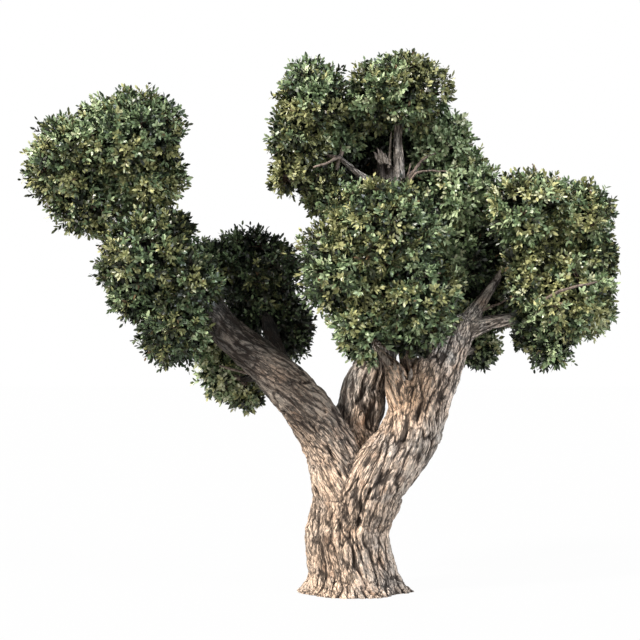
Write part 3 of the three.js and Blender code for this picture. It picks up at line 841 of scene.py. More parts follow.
def has_room(points, head):
    """True for each point in its head's own space, inside the tree's box and off the wood."""
    own = least_share(points, [lobe for lobe in lobes if lobe["head"] == head])
    other = least_share(points, [lobe for lobe in lobes if lobe["head"] != head])
    low, high = np.array(frame_low) + BOX_MARGIN, np.array(frame_high) - BOX_MARGIN
    in_box = ((points > low) & (points < high)).all(1)
    apart = other > np.minimum(own - MIXED_SHARE, CLEAR_SHARE)
    free = (own < REACH_SHARE) & apart & in_box
    free[free] = clear_of_wood(points[free]) & ~hides_wood(points[free])
    return free


print("a heart has room:", has_room(np.array([lobes[0]["heart"]]), "far_left"))

# %% [markdown]
# A clipped olive is not a smooth ball. Its skin is a crowd of small domes with shade between them.
# So clumps are spread over each lobe by the golden angle, tufts are spread much closer, and a tuft
# stands the deeper the further it lies from the middle of its clump. A second, sparser layer of
# tufts further in closes the view through the head.

# %% Tufts in clumps
SHOOT_LENGTH = 0.106
TUFT_SPACING = 0.148
CLUMP_SPACING = 0.29
CLUMP_RADIUS = 0.165
CLUMP_DROP = 0.050  # how much deeper a tuft stands at the edge of its clump
CLUMP_FAN = 0.55  # how much a tuft there leans away from the middle
BURIED_SHARE = 0.66  # tufts within this share of another lobe are left out
LAYERS = [(0.125, 1), (0.230, 0.42)]  # how deep each layer of tufts stands, and its share of them


def spread_on(lobe, spacing, turn, jitter, rng, share=1):
    """Directions spread over a lobe at a spacing."""
    a, b, c = lobe["half"]
    area = 4 * math.pi * (a * b + b * c + c * a) / 3
    count = max(8, round(area / spacing**2 * share))
    return unit(spread_directions(count, turn) + rng.normal(0, jitter, (count, 3)))


def tufts_of(number, lobe, depth, share_of_count, rng):
    """Where a lobe's tufts stand, which way is out, and how far off its clump's middle each is."""
    half = lobe["half"]
    way = spread_on(lobe, TUFT_SPACING, number, 0.09, rng, share_of_count)
    clumps = spread_on(lobe, CLUMP_SPACING, 1.7 * number, 0.16, rng)
    aside = (way[:, None] - clumps[None]) * half
    gaps = np.linalg.norm(aside, axis=2)
    nearest = gaps.argmin(1)
    aside = aside[np.arange(len(way)), nearest] / CLUMP_RADIUS
    off = np.minimum(gaps.min(1) / CLUMP_RADIUS, 1.3)
    depth = depth + CLUMP_DROP * off**2 + rng.normal(0, 0.014, len(way))
    depth = depth + rng.normal(0, 0.016, len(clumps))[nearest]
    share = np.maximum(1 - depth / half.prod() ** (1 / 3), 0.25)
    at = lobe["heart"] + way * half * share[:, None]
    out = unit(unit(way / half) + CLUMP_FAN * aside)
    mates = [other for other in lobes if other is not lobe]
    tested = at + out * 0.6 * SHOOT_LENGTH
    deepest = np.minimum(share_out(tested, lobe), BURIED_SHARE)
    buried = least_share(tested, mates) < deepest
    return at[~buried], out[~buried], off[~buried]


tufts = {head: [] for head in HEADS}
for number, lobe in enumerate(lobes):
    rng = np.random.default_rng(100 + number)
    for layer, (depth, share_of_count) in enumerate(LAYERS):
        at, out, off = tufts_of(number + 50 * layer, lobe, depth, share_of_count, rng)
        tufts[lobe["head"]].append((at, out, off, np.full(len(at), layer)))
print("tufts:", sum(len(at) for rows in tufts.values() for at, *_ in rows))

# %% Shoots
SHOOTS_PER_TUFT = 8
SHOOT_FAN = math.radians(74)
SHOOT_RISE = np.array([0, 0, 0.12])  # shoots turn up a little, to the light
STRAY_SHARE = 0.06  # the share of shoots that stand straight out and grow longer
THIN_PLACES = [  # where light shows through: x, z, half sizes in mm, and the share left out
    (-2150, 2960, 340, 250, 0.55), (-530, 3400, 190, 330, 0.40), (-1000, 1560, 280, 200, 0.50),
    (1560, 1930, 280, 180, 0.50), (1370, 2010, 110, 150, 0.55),
]


def side_of(vectors):
    """For each vector, one at right angles to it."""
    helper = np.where(np.abs(vectors[:, 2:]) < 0.9, [[0, 0, 1.0]], [[1.0, 0, 0]])
    return unit(np.cross(helper, vectors))


def leaned(vectors, aside, angle):
    """Each vector turned by its angle towards the one aside, at right angles to it."""
    return vectors * np.cos(angle)[:, None] + aside * np.sin(angle)[:, None]


def aside_of(vectors, turn):
    """For each vector, one at right angles to it, turned round it."""
    across = side_of(vectors)
    return leaned(across, np.cross(vectors, across), turn)


def shoots_of(at, out, off, rng):
    """The star of shoots of each tuft: roots, directions and lengths."""
    count = len(at) * SHOOTS_PER_TUFT
    k = np.tile(np.arange(SHOOTS_PER_TUFT), len(at))
    out, off = (np.repeat(column, SHOOTS_PER_TUFT, axis=0) for column in (out, off))
    lean = SHOOT_FAN * np.sqrt((k + 0.3) / SHOOTS_PER_TUFT) + rng.normal(0, 0.12, count)
    stray = rng.random(count) < STRAY_SHARE
    lean = np.where(stray, 0.4 * lean, lean)
    turn = k * GOLDEN_ANGLE + np.repeat(rng.uniform(*ANY_TURN, len(at)), SHOOTS_PER_TUFT)
    way = unit(unit(leaned(out, aside_of(out, turn), lean)) + SHOOT_RISE)
    length = SHOOT_LENGTH * rng.uniform(0.75, 1.2, count) * (1 - 0.12 * lean)
    length = length * (1.14 - 0.26 * off**2) * np.where(stray, 1.3, 1)
    root = np.repeat(at, SHOOTS_PER_TUFT, axis=0) + way * 0.01
    return root, way, length, out


def strength_at(points, places):
    """How strong the soft places in front of or behind each point are, and 0 elsewhere."""
    total = np.zeros(len(points))
    for x, z, half_x, half_z, strength in places:
        wide = (points[:, 0] / MM - x) / half_x
        long = (points[:, 2] / MM - z) / half_z
        total = np.maximum(total, strength * (1 - smooth_step(np.hypot(wide, long), 0.6, 1.2)))
    return total


shoots = {}
for number, (head, rows) in enumerate(tufts.items()):
    rng = np.random.default_rng(300 + number)
    parts = []
    for at, out, off, layer in rows:
        if len(at):
            parts.append((*shoots_of(at, out, off, rng), np.repeat(layer, SHOOTS_PER_TUFT)))
    shoots[head] = [np.concatenate(column) for column in zip(*parts)]
    kept = rng.random(len(shoots[head][0])) >= strength_at(shoots[head][0], THIN_PLACES)
    shoots[head] = [column[kept] for column in shoots[head]]
print("shoots:", sum(len(rows[0]) for rows in shoots.values()))

# %% Leaves along the shoots
PAIRS = 4
LEAF_LENGTH = 0.051
LEAF_LEAN = math.radians(52)
INNER_LEAF = 1.45  # how much larger the few leaves of the inner layer are


def leaves_of(root, way, length, out, layer, rng):
    """Foot, direction, face and size of each leaf, the number of its shoot and its place there."""
    per_shoot = 2 * PAIRS + 1
    count = len(root) * per_shoot
    shoot = np.repeat(np.arange(len(root)), per_shoot)
    slot = np.tile(np.arange(per_shoot), len(root))
    pair, hand = slot // 2, slot % 2
    last = slot == per_shoot - 1
    share = 0.30 + 0.70 * pair / PAIRS
    stem = way[shoot]
    start = rng.uniform(*ANY_TURN, len(root))
    turn = start[shoot] + pair * (math.pi / 2 + 0.25) + hand * math.pi
    turn = turn + rng.normal(0, 0.25, count)
    lean = LEAF_LEAN * (1.12 - 0.35 * share) + rng.normal(0, 0.16, count)
    lean = np.where(last, rng.normal(0, 0.15, count), lean)
    ahead = leaned(stem, aside_of(stem, turn), lean)
    ahead = unit(ahead + rng.normal(0, 0.07, (count, 3)))
    face = stem - ahead * (stem * ahead).sum(1)[:, None]
    face = np.where(last[:, None], side_of(ahead), face)
    face = unit(face) + 0.45 * out[shoot] + np.array([0, 0, 0.15])
    face = unit(face + rng.normal(0, 0.38, (count, 3)))
    foot = root[shoot] + stem * (length[shoot] * share)[:, None]
    size = LEAF_LENGTH * rng.uniform(0.78, 1.18, count) * (1.06 - 0.2 * (share > 0.95))
    size = size * np.where(layer[shoot] == 1, INNER_LEAF, 1.0)
    return foot, ahead, face, size, shoot, share


# The dark tints carry the painted shade of inner leaves and of heads in shade
TINTS = 10  # dark to bright in pairs of a cool and a warm green, then a pale one and a brown one
PALE, BROWN = 8, 9
BROWN_SHARE = 0.004
COOL_HEADS = {"upper_right": 0.30, "rear": 0.15, "left_rear": 0.15, "right_rear": 0.25}
DEEP_SHADE = [  # the front of a dark place, then its x, z, half sizes in mm, and how dark
    (-330, (1085, 2690, 170, 365, 0.55)),
    (-120, (110, 3440, 270, 120, 0.55)),
    (120, (-690, 2400, 430, 620, 0.34)),
]


def in_deep_shade(points):
    """How much darker the leaves are at each point: most at the heart of a dark place."""
    shade = np.zeros(len(points))
    for front, place in DEEP_SHADE:
        shade = np.maximum(shade, strength_at(points, [place]) * (points[:, 1] > front * MM))
    return shade


def tints_of(root, layer, shoot, head, rng):
    """A tint for each leaf, by its region, its head, its shoot and chance, with painted shade on
    shaded heads, on the inner layer and in the deep shade.
    """
    bright = 0.58 + 0.24 * noise(root * 7, 41) + rng.normal(0, 0.17, len(root))
    # Painted shade: darker tints for a head in shade, for the inner layer and in the deep shade; a
    # head whose number is below 0.3 gets lighter tints as painted light
    bright = bright - 0.60 * (HEADS[head][1] - 0.3) - 0.60 * layer - in_deep_shade(root)
    bright = bright[shoot] + rng.normal(0, 0.12, len(shoot))
    warm = 0.40 * noise(root * 2.7, 42) + 0.25 * noise(root * 9, 43)
    warm = (warm + rng.normal(0, 0.18, len(root)) - COOL_HEADS.get(head, 0))[shoot]
    tint = 2 * np.clip(np.floor(bright * 4), 0, 3).astype(int) + (warm > 0)
    tint = np.where(bright > 1.05, PALE, tint)
    return np.where(rng.random(len(shoot)) < BROWN_SHARE, BROWN, tint)


leaves = {}
for number, (head, (root, way, length, out, layer)) in enumerate(shoots.items()):
    rng = np.random.default_rng(500 + number)
    foot, ahead, face, size, shoot, share = leaves_of(root, way, length, out, layer, rng)
    tint = tints_of(root, layer, shoot, head, rng)
    keep = has_room(foot + ahead * size[:, None], head)
    keep &= ~hides_wood(foot + 0.4 * ahead * size[:, None])
    reached = np.zeros(len(root))
    np.maximum.at(reached, shoot[keep], share[keep])
    leafy = reached > 0.5
    keep = keep & leafy[shoot]
    columns = (foot, ahead, face, size, tint, layer[shoot])
    leaves[head] = [column[keep] for column in columns]
    shoots[head] = [root[leafy], way[leafy], (length * reached)[leafy]]
    print(f"{head}: {leafy.sum()} shoots, {keep.sum()} leaves")
print("leaves:", sum(len(rows[0]) for rows in leaves.values()))

# %% [markdown]
# ## Branches, twigs and shoots
# A head hangs on real wood. From the tip of the bough a branch bows to the heart of each lobe.
# From there twigs reach a ring of hubs half way out, finer twigs go on to the tufts, and every
# shoot is the finest twig of all. Each joins the nearest wood that is there already, so nothing
# floats.

# %% Bare twigs that show, in millimetres: four points, then the radius at both ends
BARE_TWIGS = {
    "right_low": [
        ((1325, -85, 2190), (1440, -230, 2285), (1600, -505, 2402), (1860, -480, 2462), 24, 6),
        ((1110, -45, 2150), (1265, -60, 2120), (1370, -80, 2010), (1455, -90, 1900), 26, 9),
    ],
    "right_high": [
        ((1395, -90, 2945), (1475, -95, 3150), (1455, -100, 3310), (1415, -105, 3412), 12, 6),
        ((930, 0, 2170), (1010, -10, 2235), (1120, -20, 2285), (1230, -40, 2330), 15, 7),
    ],
    "top_left": [
        ((-118, -70, 3462), (-165, -215, 3428), (-235, -300, 3388), (-325, -305, 3362), 15, 8),
    ],
    "left_low": [((-690, 60, 1715), (-810, 70, 1730), (-950, 50, 1765), (-1080, 80, 1800), 17, 8)],
    "upper_right": [
        ((405, 40, 3230), (440, 20, 3300), (485, 10, 3370), (520, 20, 3425), 17, 10),
        ((505, 15, 3405), (580, 20, 3470), (660, 20, 3510), (740, 40, 3545), 10, 6),
        ((430, 20, 3270), (510, -10, 3345), (610, 0, 3362), (740, 20, 3360), 11, 6),
        ((420, 40, 3250), (430, 20, 3320), (442, 10, 3370), (452, 10, 3420), 8, 6),
    ],
}
print("bare twigs:", sum(len(rows) for rows in BARE_TWIGS.values()))

# %% Lines with a radius at each point
HUBS_PER_LOBE = 9
HUB_SHARE = 0.45  # how far out the hubs stand, as a share of the lobe
HEART_RADIUS, HUB_RADIUS, TUFT_RADIUS, SHOOT_RADIUS = 0.020, 0.008, 0.0040, 0.0026
MAIN_BOW = 0.025  # how far a main branch bows, in metres
MAIN_STEPS = 9
# For each kind of twig: how far it bows, its radius at the foot at most and at the tip, its steps
HUB_TWIG = (0.014, 0.016, HUB_RADIUS, 5)
TUFT_TWIG = (0.011, 0.0075, TUFT_RADIUS, 4)


def bowed(starts, ends, bow, steps):
    """Lines from starts to ends, each on a bow that leaves the straight way by bow."""
    t = np.linspace(0, 1, steps)[None, :, None]
    starts, ends, bow = starts[:, None], ends[:, None], bow[:, None]
    return starts + (ends - starts) * t + bow * (4 * t * (1 - t))


def bent(rows, steps, rng):
    """Smooth crooked lines through the four points of each row, with their radii."""
    lines, radii = [], []
    for *spots, first, last in rows:
        spots = [(*spot, first + (last - first) * k / 3) for k, spot in enumerate(spots)]
        at, radius, _ = smooth_line(spots)
        pick = np.linspace(0, len(at) - 1, steps).round().astype(int)
        lines.append(at[pick] + rng.normal(0, 0.0028, (steps, 3)))
        radii.append(radius[pick] * rng.uniform(0.82, 1.18, steps))
    return np.array(lines), np.array(radii)


def tapered(first, last, steps):
    """Radii that fall evenly from first to last on each line."""
    t = np.linspace(0, 1, steps)[None]
    return np.asarray(first)[:, None] * (1 - t) + np.asarray(last)[:, None] * t


def nearest_of(places, targets):
    """For each target, the number of the nearest place."""
    return ((targets[:, None] - places[None]) ** 2).sum(2).argmin(1)


def twigs_to(ends, near, places, widths, kind, rng):
    """Twigs that run to the ends, each from the place nearest to a point near its end."""
    sway, thickest, tip, steps = kind
    start = nearest_of(places, near)
    bow = rng.normal(0, sway, (len(ends), 3))
    first, last = np.minimum(widths[start], thickest), np.full(len(ends), tip)
    return bowed(places[start], ends, bow, steps), tapered(first, last, steps)


def branches_of(head, rng):
    """[(lines, radii)] for the branches, hub twigs, tuft twigs and shoots of a head."""
    limb = limbs[HEADS[head][0]]
    own = [lobe for lobe in lobes if lobe["head"] == head]
    tip, tip_radius = limb["at"][-1], limb["radius"][-1]
    joints = [(tip - limb["ahead"][-1] * 0.02, tip_radius * 0.9)]
    mains, main_radii = [], []
    for lobe in sorted(own, key=lambda lobe: np.linalg.norm(lobe["heart"] - tip)):
        start, radius = min(joints, key=lambda joint: math.dist(joint[0], lobe["heart"]))
        bow = rng.normal(0, MAIN_BOW, (1, 3))
        line = bowed(start[None], lobe["heart"][None], bow, MAIN_STEPS)
        line[:, 1:-1] += rng.normal(0, 0.006, (1, MAIN_STEPS - 2, 3))
        radii = tapered([radius * 0.95], [HEART_RADIUS], MAIN_STEPS)
        mains.append(line)
        main_radii.append(radii)
        joints += [(line[0, k], radii[0, k] * 0.7) for k in (3, 5, 7, 8)]
    rows = [(np.concatenate(mains), np.concatenate(main_radii))]

    places = np.array([place for place, _ in joints])
    widths = np.array([radius for _, radius in joints])
    ways = spread_directions(HUBS_PER_LOBE, 0.7)
    hubs = np.concatenate([lobe["heart"] + ways * lobe["half"] * HUB_SHARE for lobe in own])
    rows.append(twigs_to(hubs, hubs, places, widths, HUB_TWIG, rng))

    places = np.concatenate([places, hubs])
    widths = np.concatenate([widths, np.full(len(hubs), HUB_RADIUS)])
    at = np.concatenate([at for at, *_ in tufts[head]])
    out = np.concatenate([out for _, out, *_ in tufts[head]])
    rows.append(twigs_to(at, at - out * 0.07, places, widths, TUFT_TWIG, rng))

    bare = BARE_TWIGS.get(head, [])
    if bare:
        rows.append(bent(bare, 12, rng))

    root, way, length = shoots[head]
    ends = root + way * length[:, None]
    first = np.full(len(root), SHOOT_RADIUS)
    lines = np.stack([root - way * 0.012, ends], axis=1)
    rows.append((lines, tapered(first, first * 0.5, 2)))
    return rows


branches = {
    head: branches_of(head, np.random.default_rng(700 + number))
    for number, head in enumerate(HEADS)
}
print("branch lines:", sum(len(lines) for rows in branches.values() for lines, _ in rows))

# %% [markdown]
# ## Two node trees that repeat
# Geometry Nodes do the repeating. The first tree sets a leaf on each point, turned by two stored
# directions, makes the copies real and paints each by its shoot's tint. The second sweeps a ring
# along lines to make twigs. Both end in plain faces, which is what an exported model keeps.

# %% Helpers for node trees


class Wiring:
    """A node tree, with short calls that add and join its nodes."""

    def __init__(self, tree, prefix=""):
        self.nodes, self.link, self.prefix = tree.nodes, tree.links.new, prefix

    def add(self, kind, values=(), **settings):
        """A new node. A value that is a socket is linked to its input, any other is set there."""
        node = self.nodes.new(self.prefix + kind)
        for key, value in settings.items():
            setattr(node, key, value)
        for label, value in dict(values).items():
            if isinstance(value, bpy.types.NodeSocket):
                self.link(value, node.inputs[label])
            else:
                node.inputs[label].default_value = value
        return node


def new_tree(name, inputs):
    """A node tree with a geometry going in and out, and the named inputs."""
    tree = bpy.data.node_groups.new(name, "GeometryNodeTree")
    for way in ("INPUT", "OUTPUT"):
        tree.interface.new_socket("Geometry", in_out=way, socket_type="NodeSocketGeometry")
    for label, kind in inputs:
        tree.interface.new_socket(label, in_out="INPUT", socket_type=f"NodeSocket{kind}")
    return tree, Wiring(tree), tree.nodes.new("NodeGroupInput").outputs


def stored(wiring, name, kind):
    """The socket of a value that is stored on the points."""
    node = wiring.add("GeometryNodeInputNamedAttribute", {"Name": name}, data_type=kind)
    return node.outputs["Attribute"]


def worked_by(tree, mesh, values, name):
    """The plain mesh that a node tree makes of a mesh, with its named inputs set."""
    piece = new_object(name, mesh)
    modifier = piece.modifiers.new("grow", "NODES")
    modifier.node_group = tree
    sockets = {
        item.name: item.identifier
        for item in tree.interface.items_tree
        if item.item_type == "SOCKET" and item.in_out == "INPUT"
    }
    for label, value in values.items():
        modifier[sockets[label]] = value
    grown = settled_mesh(piece, name)
    bpy.data.objects.remove(piece)
    bpy.data.meshes.remove(mesh)
    return grown


print("helpers:", new_tree.__name__, stored.__name__, worked_by.__name__)

# %% A leaf on each point
TINT_INPUTS = [f"Tint {number}" for number in range(TINTS)]

LEAF_INPUTS = [("Leaf", "Object"), ("Inner leaf", "Object")]
LEAF_INPUTS += [(label, "Material") for label in TINT_INPUTS]
leaf_tree, wiring, entry = new_tree("leaves on shoots", LEAF_INPUTS)
ways = {
    "Primary Axis": stored(wiring, "ahead", "FLOAT_VECTOR"),
    "Secondary Axis": stored(wiring, "face", "FLOAT_VECTOR"),
}
turn = wiring.add("FunctionNodeAxesToRotation", ways, primary_axis="X", secondary_axis="Z")
layer_number = stored(wiring, "layer", "INT")
size = stored(wiring, "size", "FLOAT")
EQUAL = {"data_type": "INT", "operation": "EQUAL"}
both = wiring.add("GeometryNodeJoinGeometry")
for number, label in enumerate(("Leaf", "Inner leaf")):
    shape = wiring.add("GeometryNodeObjectInfo", {"Object": entry[label]})
    here = wiring.add("FunctionNodeCompare", {2: layer_number, 3: number}, **EQUAL)
    copies = {
        "Points": entry["Geometry"],
        "Selection": here.outputs["Result"],
        "Instance": shape.outputs["Geometry"],
        "Rotation": turn.outputs["Rotation"],
        "Scale": size,
    }
    place = wiring.add("GeometryNodeInstanceOnPoints", copies)
    wiring.link(place.outputs["Instances"], both.inputs["Geometry"])
real = wiring.add("GeometryNodeRealizeInstances", {"Geometry": both.outputs["Geometry"]})
painted = real.outputs["Geometry"]
tint_number = stored(wiring, "tint", "INT")
for number, label in enumerate(TINT_INPUTS):
    same = wiring.add("FunctionNodeCompare", {2: tint_number, 3: number}, **EQUAL)
    paint = {"Geometry": painted, "Selection": same.outputs["Result"], "Material": entry[label]}
    painted = wiring.add("GeometryNodeSetMaterial", paint).outputs["Geometry"]
wiring.add("NodeGroupOutput", {"Geometry": painted})
print("leaf tree:", len(leaf_tree.nodes), "nodes")

# %% A ring swept along each line
twig_tree, wiring, entry = new_tree("twigs on lines", [("Sides", "Int"), ("Bark", "Material")])
line = wiring.add("GeometryNodeMeshToCurve", {"Mesh": entry["Geometry"]})
circle = {"Resolution": entry["Sides"], "Radius": 1}
ring = wiring.add("GeometryNodeCurvePrimitiveCircle", circle)
path = {
    "Curve": line.outputs["Curve"],
    "Profile Curve": ring.outputs["Curve"],
    "Scale": stored(wiring, "radius", "FLOAT"),
    "Fill Caps": True,
}
sweep = wiring.add("GeometryNodeCurveToMesh", path)
real = wiring.add("GeometryNodeRealizeInstances", {"Geometry": sweep.outputs["Mesh"]})
paint = {"Geometry": real.outputs["Geometry"], "Material": entry["Bark"]}
painted = wiring.add("GeometryNodeSetMaterial", paint).outputs["Geometry"]
wiring.add("NodeGroupOutput", {"Geometry": painted})
print("twig tree:", len(twig_tree.nodes), "nodes")

# %% [markdown]
# ## Materials
# A leaf is small, so its colour is plain and its liveliness comes from the deal of tints among the
# shoots: black-green as painted shade inside and in shaded heads, grey-green and olive outside, a
# few yellow or brown. The bark is one material for all the wood. It reads how deep each point lies
# in a furrow to paint shade there and highlights on the ridges, it has streaks along the grain that
# are partly painted highlight, and it turns from warm tan on the old front to cool grey on the
# shaded side and higher up.

# %% Helpers for shading


def from_screen(red, green, blue):
    """A colour given as it looks on a screen, 0 to 255, as the linear numbers a shader takes."""
    shares = [value / 255 for value in (red, green, blue)]
    linear = [v / 12.92 if v <= 0.04045 else ((v + 0.055) / 1.055) ** 2.4 for v in shares]
    return (*linear, 1)


class Shading(Wiring):
    """The nodes of a material or of the sky, with short calls for what the recipes repeat."""

    def __init__(self, owner):
        owner.use_nodes = True
        super().__init__(owner.node_tree, "ShaderNode")
        self.owner = owner
        self.shader = self.nodes.get("Principled BSDF")

    def noise(self, vector, scale, detail=3.0, roughness=0.55):
        """Noise from 0 to 1."""
        values = {"Vector": vector, "Scale": scale, "Detail": detail, "Roughness": roughness}
        return self.add("TexNoise", values).outputs["Fac"]

    def scaled(self, vector, scale):
        """A place, drawn out by three numbers."""
        return self.add("Mapping", {"Vector": vector, "Scale": scale}).outputs[0]

    def between(self, value, low, high, to_low=0.0, to_high=1.0):
        """to_low where a value is low, to_high where it is high, and evenly between them."""
        values = {"Value": value, 1: low, 2: high, 3: to_low, 4: to_high}
        return self.add("MapRange", values).outputs["Result"]

    def where(self, share, factor):
        """1 where a share is 0, and the factor where it is 1."""
        return self.between(share, 0, 1, 1, factor)

    def off(self, place, spot):
        """How far a place lies from a spot."""
        node = self.add("VectorMath", {0: place, 1: spot}, operation="DISTANCE")
        return node.outputs["Value"]

    def mixed(self, share, first, second, blend="MIX"):
        """A share of the second colour laid over the first."""
        values = {0: share, 6: first, 7: second}
        return self.add("Mix", values, data_type="RGBA", blend_type=blend).outputs[2]

    def math(self, operation, first, *others):
        """One sum or product over all the numbers, from the left."""
        for other in others:
            first = self.add("Math", {0: first, 1: other}, operation=operation).outputs[0]
        return first

    def finish(self, colour, roughness, height, strength, distance):
        """Give the shader its colour, roughness and bumps, and hand back the material."""
        bump = {"Height": height, "Strength": strength, "Distance": distance}
        normal = self.add("Bump", bump).outputs["Normal"]
        sockets = {"Base Color": colour, "Roughness": roughness, "Normal": normal}
        for label, socket in sockets.items():
            self.link(socket, self.shader.inputs[label])
        return self.owner


def plain_shading(name, colour, roughness):
    """A material with one colour."""
    m = Shading(bpy.data.materials.new(name))
    m.shader.inputs["Base Color"].default_value = from_screen(*colour)
    m.shader.inputs["Roughness"].default_value = roughness
    return m


print("black to white:", from_screen(0, 0, 0)[0], "to", from_screen(255, 255, 255)[0])

# %% Leaves
LEAF_ROUGHNESS = 0.36
# From dark to pale, partly the leaves' own greens and partly painted shade on the dark ones
LEAF_COLOURS = {
    "leaf_dark_cool": (24, 31, 21),
    "leaf_dark_warm": (29, 33, 20),
    "leaf_deep_cool": (54, 68, 46),
    "leaf_deep_warm": (64, 71, 44),
    "leaf_mid_cool": (106, 125, 89),
    "leaf_mid_warm": (121, 124, 81),
    "leaf_bright_cool": (164, 180, 138),
    "leaf_bright_warm": (175, 175, 124),
    "leaf_pale": (207, 210, 174),
    "leaf_brown": (112, 92, 66),
}
leaf_materials = [
    plain_shading(name, colour, LEAF_ROUGHNESS).owner for name, colour in LEAF_COLOURS.items()
]
print(len(leaf_materials), "leaf tints")

# %% The bark of twigs and branches, and bare wood


def thin_bark(name, dark, pale, stretch):
    """Rough thin bark: flecks of two browns, drawn out as far as stretch says, and fine bumps."""
    m = Shading(bpy.data.materials.new(name))
    place = m.add("TexCoord").outputs["Object"]
    fleck = m.noise(m.scaled(place, stretch), 1, 4, 0.65)
    speck = m.noise(place, 160, 3)
    colour = m.mixed(m.between(fleck, 0.36, 0.64), from_screen(*dark), from_screen(*pale))
    roughness = m.between(speck, 0.2, 0.8, 0.78, 0.98)
    height = m.math("ADD", fleck, m.math("MULTIPLY", speck, 0.4))
    return m.finish(colour, roughness, height, 0.9, 0.005)


branch_bark = thin_bark("branch_bark", (52, 43, 38), (146, 129, 118), (70, 70, 45))
twig_bark = thin_bark("twig_bark", (66, 50, 41), (124, 100, 84), (60, 60, 60))
dead_wood = thin_bark("bare_dead_wood", (72, 63, 57), (186, 173, 160), (100, 100, 12))
print("thin barks:", branch_bark.name, twig_bark.name, dead_wood.name)

# %% The bark of the trunk and limbs
# The bare wood under the snag is pale of its own, and made paler still as painted light where the
# foliage shades it
BARE_FRONT = (0.42, -0.22, 1.62)  # the heart of the pale bare wood under the snag, in metres
# The rot holes are darkened with painted shade
HOLE_SHADE = [  # rot holes: the place, then how far the dark reaches in full and at all
    ((0.43, -0.04, 1.88), 0.08, 0.15),
    ((0.245, 0.0, 3.36), 0.07, 0.12),
]
INWARD = (0.83, 0, 0.55)  # the way that the shaded inner side of the left limb faces
# The rust is the bark's own colour; the pale ridge colour is a painted highlight
RUST, RIDGE_HIGHLIGHT = from_screen(150, 108, 76), from_screen(234, 220, 204)
BARE_AND_LIT_WOOD = from_screen(222, 180, 142)


